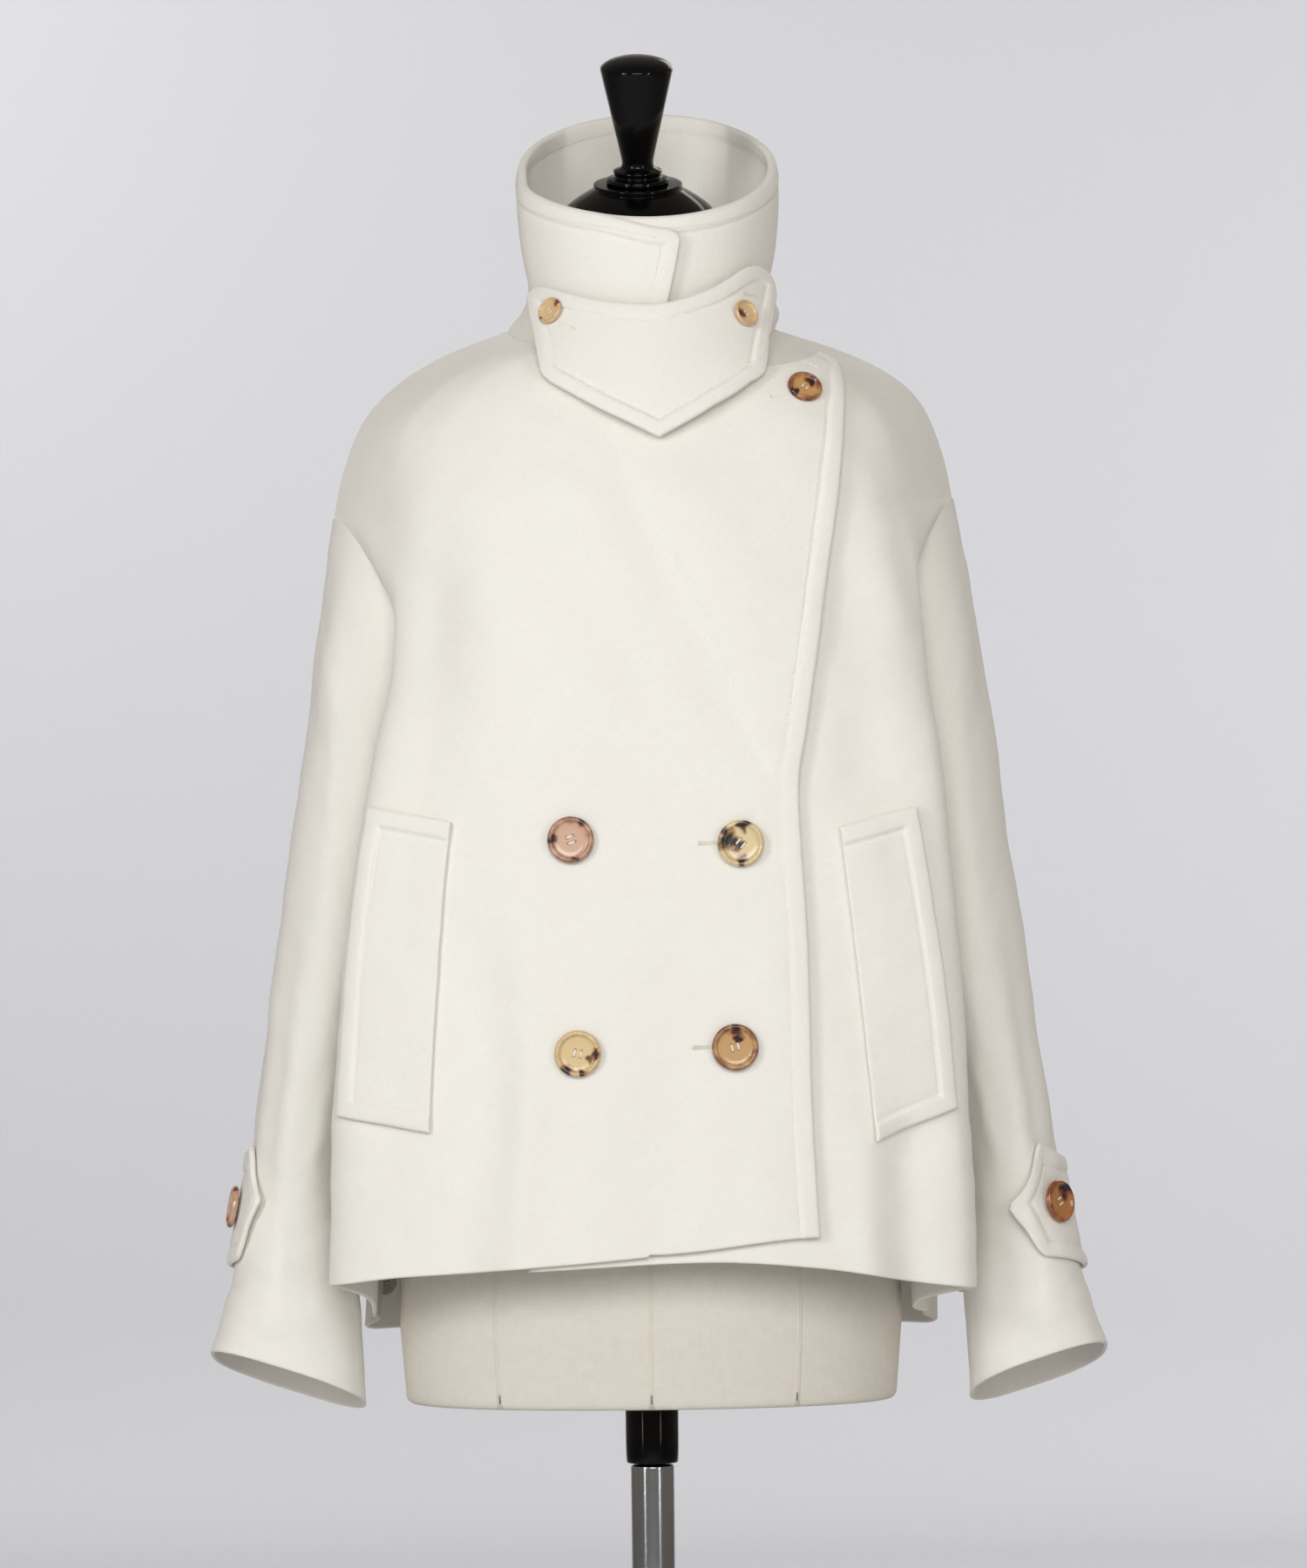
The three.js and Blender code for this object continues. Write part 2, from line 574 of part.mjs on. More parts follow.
function sleeveFold(angle, s) {
  let height = 0;
  for (const f of SLEEVE_FOLDS) {
    const turn = Math.atan2(Math.sin(angle - f.angle), Math.cos(angle - f.angle));
    const w = (s - f.s0) / (f.s1 - f.s0);
    height += f.depth * smooth(0, 0.4, w) * (1 - smooth(0.6, 1, w)) * Math.exp(-((turn / f.width) ** 2));
  }
  return height;
}

const SLEEVE_SIDES = 4 * ARMHOLE_ROWS;
// The sides at which a sleeve's two lengthwise seams run: in front and behind, near its inner side.
const FRONT_SEAM_SIDE = 10;
const BACK_SEAM_SIDE = 16;
const SEAM_TURN = 0.004;

// One of a sleeve's two pieces, between two of its sides.
function sleevePiece(side, from, to) {
  const levels = [0, 0.03, 0.07, 0.12, 0.19, 0.27, 0.36, 0.45, 0.54, 0.62, 0.68, 0.74, 0.8, 0.87, 0.94, 1];
  const outer = [];
  const inner = [];
  for (const s of levels) {
    outer.push([]);
    inner.push([]);
    for (let i = from; i <= to; i += 1) {
      const aside = i === from ? SEAM_TURN : i === to ? -SEAM_TURN : 0;
      const angle = 2 * Math.PI * i / SLEEVE_SIDES + aside;
      const point = sleevePoint(side, angle, s);
      const normal = s > 0 ? sleeveNormal(side, angle, s) : startNormal(side, angle);
      const height = sleeveFold(angle, s) * smooth(0, 0.06, s);
      outer[outer.length - 1].push(point.clone().addScaledVector(normal, height));
      inner[inner.length - 1].push(point.clone().addScaledVector(normal, height - CLOTH));
    }
  }
  // The sewn edge runs straight between the panels' rows, two sides to each row.
  for (const ring of [outer[0], inner[0]]) {
    for (let i = 1; i < ring.length - 1; i += 2) ring[i].copy(ring[i - 1]).lerp(ring[i + 1], 0.5);
  }
  return wall(outer, inner);
}

function topSleeve(side) {
  return sleevePiece(side, BACK_SEAM_SIDE, FRONT_SEAM_SIDE + SLEEVE_SIDES);
}

function underSleeve(side) {
  return sleevePiece(side, FRONT_SEAM_SIDE, BACK_SEAM_SIDE);
}

// A cuff strap round the back of the sleeve, pointed at both ends.
//   halfSpan: half its width along the sleeve; tip: the turn over which it narrows; end: the rear tip's turn;
//   lift: how far the front tip stands off, and over which turn; skew: how its front corners are turned.
const STRAP = { halfSpan: 0.104, tip: 0.45, end: -3.5, lift: 4, liftTurn: 0.5, skew: 0.245, skewTurn: 1.2 };
// Where a strap's front tip lies round and along the sleeve, and how much lower the strap is behind.
const STRAP_TIPS = {
  left: { start: 1.05, middle: 0.686, tilt: 0.04 },
  right: { start: 1.68, middle: 0.718, tilt: 0.03 },
};
const STRAP_TIP_TURNS = [0, 0.35, 0.7, 1].map((w) => w * STRAP.tip);
const STRAP_BUTTONS = { outer: { fromTip: 0.76, gap: 1.1 }, inner: { fromTip: 0.42, gap: 0.8 } };

function strapMiddle({ middle, tilt }, angle) {
  return middle + tilt * (1 - smooth(0, 1.5, angle));
}

// The turns of the strap's columns: close together at both tips, on the sleeve's own sides between them.
function strapTurns(start) {
  const side = 2 * Math.PI / SLEEVE_SIDES;
  const clear = STRAP.tip + 0.05;
  const turns = STRAP_TIP_TURNS.map((w) => start - w);
  for (let i = Math.floor((start - clear) / side); i * side > STRAP.end + clear; i -= 1) {
    turns.push(i * side);
  }
  return turns.concat(STRAP_TIP_TURNS.map((w) => STRAP.end + w).reverse());
}

function strap(side) {
  const place = STRAP_TIPS[side > 0 ? 'right' : 'left'];
  const { start } = place;
  const outer = [];
  const inner = [];
  for (const turn of strapTurns(start)) {
    const fromTip = Math.min(start - turn, turn - STRAP.end);
    const share = Math.min(1, 0.12 + 0.88 * fromTip / STRAP.tip);
    const skew = STRAP.skew * share * smooth(start - STRAP.skewTurn, start - STRAP.tip, turn);
    outer.push([]);
    inner.push([]);
    for (const across of [-1, -0.72, 0, 0.72, 1]) {
      const angle = turn + across * skew;
      const s = strapMiddle(place, turn) + across * share * STRAP.halfSpan;
      const point = sleevePoint(side, angle, s);
      const normal = sleeveNormal(side, angle, s);
      const lift = STRAP.lift * smooth(start - STRAP.liftTurn, start, angle);
      const height = sleeveFold(angle, s) + STRAP_LOOSE + lift;
      const rise = Math.abs(across) > 0.5 && Math.abs(across) < 0.9 ? BORDER_RISE * 0.6 : 0;
      outer[outer.length - 1].push(point.clone().addScaledVector(normal, height + CLOTH + rise));
      inner[inner.length - 1].push(point.clone().addScaledVector(normal, height));
    }
  }
  return wall(outer, inner);
}

// ---- collar ----
// Rings of the stand collar from the neck seam to the rim; front and back give each ring's height there.
const COLLAR = { centreX: 7, wall: 4, start: -0.42, end: 0.24, slant: 0.11, droop: 9, droopTurn: 0.65 };
const COLLAR_RINGS = [
  { t: 0.1, halfX: 84, halfY: 84, y: -6, front: 1337, back: 1376, side: 1366 },
  { t: 0.3, halfX: 82, halfY: 83, y: -6, front: 1354, back: 1406, side: 1382 },
  { t: 0.6, halfX: 83.5, halfY: 84, y: -5, front: 1382, back: 1446, side: 1412 },
  { t: 0.85, halfX: 86, halfY: 85, y: -3, front: 1408, back: 1488, side: 1446 },
  { t: 1, halfX: 87.5, halfY: 86, y: -2, front: 1422, back: 1508, side: 1465 },
];

// The neck seam at a turn (0 front centre, growing towards +X and round the back).
function neckPoint(turn) {
  const q = (turn / (Math.PI / 2));
  const wrapped = ((q % 4) + 4) % 4;
  if (wrapped <= 1) return bodyPoint(-1, wrapped, 1);
  if (wrapped <= 2) return bodyPoint(1, 2 - wrapped, 1);
  if (wrapped <= 3) return bodyPoint(1, -(wrapped - 2), 1);
  return bodyPoint(-1, -(4 - wrapped), 1);
}

// The body's own normal at the neck seam.
function neckNormal(turn) {
  const q = ((turn / (Math.PI / 2)) % 4 + 4) % 4;
  if (q <= 1) return bodyNormal(-1, q, 1);
  if (q <= 2) return bodyNormal(1, 2 - q, 1);
  if (q <= 3) return bodyNormal(1, 2 - q, 1);
  return bodyNormal(-1, q - 4, 1);
}

function collarPoint(turn, t) {
  const neck = neckPoint(turn);
  const centre = new THREE.Vector3(COLLAR.centreX, -5, neck.z);
  const start = neck.clone().add(centre.sub(neck).setLength(SEAM)).add(new THREE.Vector3(0, 0, SEAM));
  const points = [start].concat(COLLAR_RINGS.map((ring) => {
    const c = Math.cos(turn);
    const front = (1 - c) / 2;
    const straight = lerp(ring.front, ring.back, front);
    const z = straight + (ring.side - (ring.front + ring.back) / 2) * Math.sin(turn) ** 2;
    return new THREE.Vector3(COLLAR.centreX + ring.halfX * Math.sin(turn), ring.y - ring.halfY * c, z);
  }));
  const knots = [0].concat(column(COLLAR_RINGS, 't'));
  return new THREE.Vector3(
    cubic(knots, points.map((q) => q.x), t),
    cubic(knots, points.map((q) => q.y), t),
    cubic(knots, points.map((q) => q.z), t),
  );
}

function collarNormal(turn) {
  return new THREE.Vector3(Math.sin(turn), -Math.cos(turn), 0);
}

function collar() {
  const start = COLLAR.start;
  const end = 2 * Math.PI + COLLAR.end;
  const steps = 44;
  const levels = [0, 0.12, 0.3, 0.5, 0.7, 0.87, 0.9, 1];
  const outer = [];
  const inner = [];
  for (let i = 0; i <= steps; i += 1) {
    outer.push([]);
    inner.push([]);
    for (const t of levels) {
      const turn = lerp(start, end - COLLAR.slant * (1 - t), i / steps);
      const quarter = (turn - 2 * Math.PI) / (Math.PI / 2);
      const lap = quarter > -1 ? overlapStep(neckPoint(turn).x, quarter) : 0;
      const point = collarPoint(turn, t);
      point.z -= COLLAR.droop * t * t * smooth(end - COLLAR.droopTurn, end, turn);
      const normal = collarNormal(turn);
      const lifted = neckNormal(turn).lerp(normal, smooth(0, 0.12, t));
      point.addScaledVector(lifted, lap);
      const rise = t > 0.89 ? BORDER_RISE : 0;
      outer[i].push(point.clone().addScaledVector(normal, rise));
      inner[i].push(point.clone().addScaledVector(normal, -COLLAR.wall));
    }
  }
  return wall(outer, inner);
}

// ---- chin flap ----
// The flap's outer surface is a widening cone: half sizes of its level sections.
const FLAP_CONE = [
  { z: 1270, a: 190, b: 124 },
  { z: 1310, a: 140, b: 115.4 },
  { z: 1345, a: 107, b: 106 },
  { z: 1372, a: 95.5, b: 98.5 },
  { z: 1392, a: 91.5, b: 96 },
];
const FLAP_TOP = [[-75, 1384], [-36, 1370], [10, 1364], [46, 1374], [75, 1391], [91, 1383]].map(flapCorner);
const FLAP_LOW = [[-66, 1318], [-27, 1296], [12, 1276], [48, 1297], [72, 1313], [81, 1319]].map(flapCorner);
const FLAP_BUTTONS = { left: { x: -56, z: 1361, gap: 1.5 }, right: { x: 68, z: 1358, gap: 0.8 } };

function flapCorner([x, z]) {
  return { x, z };
}

function flapPoint(x, z) {
  const a = look(FLAP_CONE, 'z', 'a', z);
  const b = look(FLAP_CONE, 'z', 'b', z);
  const w = Math.min(0.985, Math.abs((x - COLLAR.centreX) / a));
  return new THREE.Vector3(x, -4 - b * Math.sqrt(1 - w * w), z);
}

function flapNormal(x, z) {
  const d = 0.5;
  const across = flapPoint(x + d, z).sub(flapPoint(x - d, z));
  const up = flapPoint(x, z + d).sub(flapPoint(x, z - d));
  return across.cross(up).normalize();
}

function chinFlap() {
  const steps = [0, 0.03, 0.09, 0.17, 0.27, 0.4, 0.52, 0.64, 0.76, 0.86, 0.93, 0.98, 1];
  const levels = [0, 0.04, 0.14, 0.19, 0.4, 0.6, 0.8, 0.85, 0.96, 1];
  const outer = [];
  const inner = [];
  const knots = FLAP_TOP.map((_, i) => i / (FLAP_TOP.length - 1));
  for (const w of steps) {
    const topX = cubic(knots, column(FLAP_TOP, 'x'), w);
    const topZ = cubic(knots, column(FLAP_TOP, 'z'), w);
    const lowX = cubic(knots, column(FLAP_LOW, 'x'), w);
    const lowZ = linear(knots, column(FLAP_LOW, 'z'), w);
    outer.push([]);
    inner.push([]);
    for (const t of levels) {
      const x = lerp(lowX, topX, t);
      const z = lerp(lowZ, topZ, t);
      const point = flapPoint(x, z);
      const normal = flapNormal(x, z);
      const inBorder = (t > 0.01 && t < 0.15) || (t > 0.84 && t < 0.99) || w < 0.05 || w > 0.95;
      const rise = inBorder && w > 0 && w < 1 && t > 0 && t < 1 ? BORDER_RISE : 0;
      outer[outer.length - 1].push(point.clone().addScaledVector(normal, rise));
      inner[inner.length - 1].push(point.clone().addScaledVector(normal, -CLOTH));
    }
  }
  return wall(outer, inner);
}

function linear(knots, values, at) {
  let i = 0;
  while (i < knots.length - 2 && at > knots[i + 1]) i += 1;
  return lerp(values[i], values[i + 1], (at - knots[i]) / (knots[i + 1] - knots[i]));
}

// ---- pocket welts ----
// Corners in the front view: top and bottom of the inner and of the outer edge.
const POCKETS = {
  left: { innerTop: [-123, 1030], innerBottom: [-139, 831], outerTop: [-176, 1041], outerBottom: [-198, 842] },
  right: { innerTop: [124, 1024], innerBottom: [145, 822], outerTop: [174, 1037], outerBottom: [197, 843] },
};

function pocket(side) {
  const corner = POCKETS[side > 0 ? 'right' : 'left'];
  const places = Object.fromEntries(Object.entries(corner).map(([key, [x, z]]) => [key, locate(x, z)]));
  const across = [0, 0.06, 0.3, 0.55, 0.74, 0.79, 0.96, 1];
  const levels = [0, 0.012, 0.052, 0.065, 0.2, 0.35, 0.5, 0.65, 0.8, 0.935, 0.948, 0.988, 1];
  const outer = [];
  const inner = [];
  for (const t of levels) {
    outer.push([]);
    inner.push([]);
    for (const w of across) {
      const [p, v] = [0, 1].map((k) => {
        const innerEdge = lerp(places.innerBottom[k], places.innerTop[k], t);
        return lerp(innerEdge, lerp(places.outerBottom[k], places.outerTop[k], t), w);
      });
      const base = bodyPoint(-1, p, v);
      const normal = bodyNormal(-1, p, v);
      const height = frontHeight(base.x, base.z, side < 0) + LOOSE;
      const edge = t <= 0 || t >= 1 || w >= 1 || w <= 0;
      const inBorder = t < 0.06 || t > 0.94 || w > 0.78;
      const rise = !edge && inBorder ? BORDER_RISE : 0;
      outer[outer.length - 1].push(base.clone().addScaledVector(normal, height + CLOTH + rise));
      inner[inner.length - 1].push(base.clone().addScaledVector(normal, height));
    }
  }
  return wall(outer, inner);
}

// ---- buttons ----
function buttonGeometry({ radius, height }, segments = 14) {
  const profile = [
    [0, 0], [radius * 0.82, 0], [radius, height * 0.4], [radius * 0.97, height * 0.85],
    [radius * 0.86, height], [radius * 0.7, height * 0.62], [0, height * 0.5],
  ].map(([x, y]) => new THREE.Vector2(x, y));
  return new THREE.LatheGeometry(profile, segments).rotateX(Math.PI / 2);
}

function seatButton(name, size, point, normal, gap, material = 'horn') {
  const mesh = add(name, mergedLathe(buttonGeometry(size)), material);
  mesh.position.copy(point).addScaledVector(normal, gap);
  mesh.quaternion.setFromUnitVectors(new THREE.Vector3(0, 0, 1), normal);
  return mesh;
}

// A lathe has a double seam and many points on its axis; equal points are made one.
function mergedLathe(geometry) {
  const source = geometry.getAttribute('position');
  const keys = new Map();
  const position = [];
  const remap = [];
  for (let i = 0; i < source.count; i += 1) {
    const values = [source.getX(i), source.getY(i), source.getZ(i)];
    const key = values.map((n) => Math.round(n * 1000)).join(',');
    if (!keys.has(key)) {
      keys.set(key, position.length / 3);
      position.push(...values);
    }
    remap.push(keys.get(key));
  }
  const index = [];
  const old = geometry.getIndex();
  for (let i = 0; i < old.count; i += 3) {
    const [a, b, c] = [0, 1, 2].map((k) => remap[old.getX(i + k)]);
    if (a !== b && b !== c && a !== c) index.push(a, b, c);
  }
  return closed(position, index);
}

const MAIN_BUTTONS = [[-47, 1017.5], [60.4, 1014], [-44, 881], [55.5, 884]];
const LAPEL_BUTTON_AT = [105, 1306];

function frontButton(name, size, [x, z], gap) {
  const [p, v] = locate(x, z);
  const normal = bodyNormal(-1, p, v);
  const point = bodyPoint(-1, p, v).addScaledVector(normal, frontHeight(x, z, true));
  seatButton(name, size, point, normal, gap);
}

// ---- dress form and stand ----
// Level sections of the form: half width, front, back, and how pointed the section is at the shoulders.
// The shoulder ridge carries the coat.
const FORM = [
  { z: 650, x: 161, front: -104, back: 100 },
  { z: 700, x: 165, front: -110, back: 105 },
  { z: 770, x: 165, front: -112, back: 108 },
  { z: 850, x: 150, front: -106, back: 100 },
  { z: 920, x: 129, front: -98, back: 86 },
  { z: 980, x: 118, front: -96, back: 78 },
  { z: 1040, x: 121, front: -104, back: 78 },
  { z: 1100, x: 128, front: -120, back: 84 },
  { z: 1150, x: 138, front: -124, back: 90 },
  { z: 1200, x: 148, front: -112, back: 92 },
  { z: 1250, x: 162, front: -92, back: 86 },
  { z: 1285, x: 165, front: -76, back: 76 },
  { z: 1310, x: 155, front: -68, back: 72, point: 1.15 },
  { z: 1328, x: 134, front: -62, back: 66, point: 1.5 },
  { z: 1337.5, x: 124, front: -59, back: 66, point: 1.7 },
  { z: 1344, x: 110, front: -57, back: 66, point: 1.8 },
  { z: 1349.5, x: 94, front: -55, back: 66, point: 1.8 },
  { z: 1354.8, x: 75, front: -56, back: 62, point: 1.7 },
  { z: 1368, x: 60, front: -58, back: 52 },
  { z: 1400, x: 52, front: -60, back: 44 },
  { z: 1428, x: 51, front: -62, back: 40 },
];

// Stacked closed rings with a flat or round end at each side.
function stacked(rings) {
  const around = rings[0].length;
  const position = [];
  const index = [];
  for (const ring of rings) {
    for (const point of ring) position.push(point.x, point.y, point.z);
  }
  for (const ring of [rings[0], rings[rings.length - 1]]) {
    const middle = ring.reduce((sum, q) => sum.add(q), new THREE.Vector3()).divideScalar(around);
    position.push(middle.x, middle.y, middle.z);
  }
  const low = rings.length * around;
  const high = low + 1;
  for (let i = 0; i < around; i += 1) {
    const next = (i + 1) % around;
    for (let r = 0; r < rings.length - 1; r += 1) {
      const a = r * around + i;
      const b = r * around + next;
      index.push(a, b, b + around, a, b + around, a + around);
    }
    index.push(low, next, i);
    index.push(high, (rings.length - 1) * around + i, (rings.length - 1) * around + next);
  }
  return closed(position, index);
}

function formTorso() {
  const around = 32;
  const rings = FORM.map((row) => Array.from({ length: around }, (_, i) => {
    const angle = 2 * Math.PI * i / around;
    const c = Math.cos(angle);
    const s = Math.sin(angle);
    const power = row.point ?? 0.9;
    const across = Math.sign(c) * Math.abs(c) ** power;
    const ahead = Math.sign(s) * Math.abs(s) ** power;
    const depth = (row.back - row.front) / 2;
    const tilt = row.z > 1390 ? -0.33 * (row.z - 1390) / 38 : 0;
    const y = (row.front + row.back) / 2 + ahead * depth;
    return new THREE.Vector3(across * row.x, y, row.z - tilt * ahead * depth);
  }));
  return stacked(rings);
}

function lathe(profile, segments) {
  const points = profile.map(([x, y]) => new THREE.Vector2(x, y));
  return mergedLathe(new THREE.LatheGeometry(points, segments).rotateX(Math.PI / 2));
}

// Turned pieces as radius and height pairs, from the middle of the underside to the middle of the top.
const CAP_PROFILE = [[0, 0], [51, 0], [51.6, 3], [47, 8], [39, 14], [31, 19], [29.3, 20], [29.3, 23.5], [0, 23.5]];
const FINIAL_PROFILE = [
  [0, 24], [20.6, 24], [20.8, 26.5], [19.5, 27.6], [15.4, 28], [15.4, 33], [16.2, 36.6], [12.4, 39.4], [11.9, 42],
  [23.9, 96.5], [23.9, 98.6], [19, 102.4], [10, 105.2], [0, 106],
];
const SOCKET_PROFILE = [[0, 608], [17.5, 608], [17.5, 648], [24, 649], [24, 649.6], [0, 649.6]];
const POLE_PROFILE = [[0, 34.4], [POLE_RADIUS, 34.4], [POLE_RADIUS, 607.6], [0, 607.6]];
const HUB_PROFILE = [[0, 14.4], [44, 14.4], [40, 22], [24, 30], [20, 34], [0, 34]];
const BASE_PROFILE = [
  [0, 0], [BASE_RADIUS, 0], [BASE_RADIUS, 9], [BASE_RADIUS - 4, 13], [BASE_RADIUS - 12, 14], [0, 14],
];
const NECK_CAP_AT = { y: -11, z: 1428.7, tilt: 0.32 };
const SPARE_BUTTON_AT = { p: -0.74, z: 724 };

// ---- assembly ----
add('coat_front_over', frontOver(), 'wool');
add('coat_front_under', frontUnder(), 'wool');
add('coat_back', back(), 'wool');
add('coat_top_sleeve_left', topSleeve(-1), 'wool');
add('coat_top_sleeve_right', topSleeve(1), 'wool');
add('coat_under_sleeve_left', underSleeve(-1), 'wool');
add('coat_under_sleeve_right', underSleeve(1), 'wool');
add('coat_collar', collar(), 'wool');
add('coat_chin_flap', chinFlap(), 'wool');
add('coat_pocket_left', pocket(-1), 'wool');
add('coat_pocket_right', pocket(1), 'wool');
add('coat_strap_left', strap(-1), 'wool');
add('coat_strap_right', strap(1), 'wool');

MAIN_BUTTONS.forEach((place, i) => frontButton(`button_main_${i + 1}`, MAIN_BUTTON, place, 0.6));
frontButton('button_lapel', LAPEL_BUTTON, LAPEL_BUTTON_AT, -0.2);
for (const [name, { x, z, gap }] of Object.entries(FLAP_BUTTONS)) {
  seatButton(`button_flap_${name}`, FLAP_BUTTON, flapPoint(x, z), flapNormal(x, z), gap);
}
for (const side of [-1, 1]) {
  const word = side > 0 ? 'right' : 'left';
  for (const [place, { fromTip, gap }] of Object.entries(STRAP_BUTTONS)) {
    const angle = place === 'outer' ? STRAP_TIPS[word].start - fromTip : STRAP.end + fromTip;
    const s = strapMiddle(STRAP_TIPS[word], angle);
    const normal = sleeveNormal(side, angle, s);
    const point = sleevePoint(side, angle, s).addScaledVector(normal, sleeveFold(angle, s));
    seatButton(`button_cuff_${word}_${place}`, CUFF_BUTTON, point, normal, STRAP_LOOSE + CLOTH + gap);
  }
}

const spareLevel = levelOf(1, SPARE_BUTTON_AT.p, SPARE_BUTTON_AT.z);
const spareNormal = bodyNormal(1, SPARE_BUTTON_AT.p, spareLevel).negate();
const sparePoint = bodyPoint(1, SPARE_BUTTON_AT.p, spareLevel);
seatButton('button_spare', FLAP_BUTTON, sparePoint, spareNormal, CLOTH + 1.1, 'clear');

add('form_torso', formTorso(), 'linen');
const neck = new THREE.Group();
neck.position.set(0, NECK_CAP_AT.y, NECK_CAP_AT.z);
neck.rotation.x = NECK_CAP_AT.tilt;
coat.add(neck);
add('form_neck_cap', lathe(CAP_PROFILE, 26), 'black', neck);
add('form_finial', lathe(FINIAL_PROFILE, 22), 'black', neck);
add('stand_socket', lathe(SOCKET_PROFILE, 24), 'black');
add('stand_pole', lathe(POLE_PROFILE, 24), 'chrome');
add('stand_hub', lathe(HUB_PROFILE, 28), 'base');
add('stand_base', lathe(BASE_PROFILE, 48), 'base');

export default coat;
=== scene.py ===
"""A double-breasted coat of thick brushed wool on a dress form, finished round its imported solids."""

import bpy
import numpy as np
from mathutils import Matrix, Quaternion, Vector


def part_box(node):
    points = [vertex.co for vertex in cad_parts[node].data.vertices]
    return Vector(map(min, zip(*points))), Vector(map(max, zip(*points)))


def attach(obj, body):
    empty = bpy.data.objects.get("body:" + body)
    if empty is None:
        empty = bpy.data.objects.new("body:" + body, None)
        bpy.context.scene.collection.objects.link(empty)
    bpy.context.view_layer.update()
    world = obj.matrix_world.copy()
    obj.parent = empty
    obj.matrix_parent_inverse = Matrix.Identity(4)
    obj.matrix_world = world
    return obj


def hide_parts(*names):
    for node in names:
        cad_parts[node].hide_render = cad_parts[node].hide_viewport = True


bl_info = {
    "name": "Double-breasted coat",
    "version": (1, 0, 0),
    "blender": (4, 5, 0),
    "location": "View3D > Sidebar > Coat",
    "description": "Builds a stand-collar wool coat with its buttons, dress form and stand",
    "category": "Add Mesh",
}

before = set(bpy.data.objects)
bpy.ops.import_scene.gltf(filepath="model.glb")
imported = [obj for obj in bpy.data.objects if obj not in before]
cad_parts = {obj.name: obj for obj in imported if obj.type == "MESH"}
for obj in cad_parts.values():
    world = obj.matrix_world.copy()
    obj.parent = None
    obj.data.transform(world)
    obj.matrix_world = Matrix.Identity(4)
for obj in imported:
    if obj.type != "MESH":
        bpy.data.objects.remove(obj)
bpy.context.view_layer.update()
MM = 0.001

# ---- sizes of the coat's pattern, in millimetres ----
CLOTH = 3.0
SEAM = 0.35
OVERLAP_STEP = 5.4
STEP_WIDTH = 75.0
LOOSE = 0.8
BORDER = 12.5
SEWN_UNDER = 1.0
BORDER_RISE = 1.4
GROOVE_DEPTH, GROOVE_WIDTH = 0.8, 1.4
UNDER_EDGE_X = -77.0
SLEEVE_LENGTH, SLEEVE_RADIUS = 600, 62


def table(names, rows):
    """Named columns of a table of rows."""
    values = np.array(rows, float)
    return {name: values[:, i] for i, name in enumerate(names.split())}


# One row for each level of the body, from below the hem to the neck seam: heights and depths at the
# centre front and back, then where the front and the back turn beside the sleeves.
LEVELS = table(
    "v front back F K ridgeL ridgeR ridgeY rearX rearY",
    [
        (0.00, 680, 680, 154, 150, 208, 211, -94, 192, 92),
        (0.16, 780, 780, 152, 145, 206, 209, -94, 190, 90),
        (0.31, 880, 880, 149, 137, 201, 206, -94, 187, 87),
        (0.46, 980, 980, 146, 127, 191, 200, -94, 183, 84),
        (0.62, 1082, 1082, 143, 117, 174, 190, -94, 176, 83),
        (0.74, 1160, 1165, 138, 111, 158, 180, -90, 171, 80),
        (0.85, 1230, 1238, 127, 105, 158, 166, -80, 168, 76),
        (0.905, 1266, 1280, 116, 99, 154, 158, -72, 158, 72),
        (0.95, 1295, 1318, 105, 92, 131, 136, -66, 134, 66),
        (0.98, 1313, 1345, 97, 84, 100, 106, -62, 104, 60),
        (1.00, 1324, 1362, 91, 78, 68, 78, -58, 74, 52),
    ],
)
V_UNDERARM = 0.62
V_SLEEVE_TOP = 0.85
SIDE = table(
    "v z x y",
    [
        (0.00, 680, 185, 0),
        (0.16, 780, 178, 1),
        (0.31, 880, 162, 3),
        (0.46, 980, 144, 7),
        (0.62, 1080, 138, 12),
    ],
)
SHOULDER = table(
    "v x z y",
    [
        (0.85, 204, 1233, 8),
        (0.88, 198, 1262, 6),
        (0.91, 185, 1295, 4),
        (0.94, 164, 1319, 3),
        (0.97, 132, 1339, 2),
        (1.00, 88, 1356, 2),
    ],
)
RIGHT_SHOULDER_RISE = 9.0
ARMHOLE_TOP_Y, ARMHOLE_LOW_Y, ARMHOLE_FRONT, ARMHOLE_BACK = 8.0, 12.0, 68.0, 60.0
SCOOP_LEFT, SCOOP_RIGHT, SCOOP_BACK = 16.0, 10.0, 6.0
ROW_KNOTS = np.array([0, 0.3, 0.58, 0.8, 0.9, 1])

OVER_EDGE = table(
    "w x z",
    [
        (0.00, 108, 762),
        (0.14, 104, 850),
        (0.34, 102.5, 955),
        (0.48, 98, 1046),
        (0.60, 104, 1090),
        (0.74, 117, 1178),
        (0.85, 126, 1245),
        (0.95, 131, 1310),
        (1.00, 123, 1338),
    ],
)
OVER_HEM = table("x z", [(-208, 732), (-165, 738), (-110, 742), (0, 751), (108, 762)])
UNDER_HEM = table("x z", [(-80, 742), (40, 747), (110, 742), (165, 733), (211, 726)])
SIDE_HEM_Z = 706.0
BACK_HEM_Z = 692.0

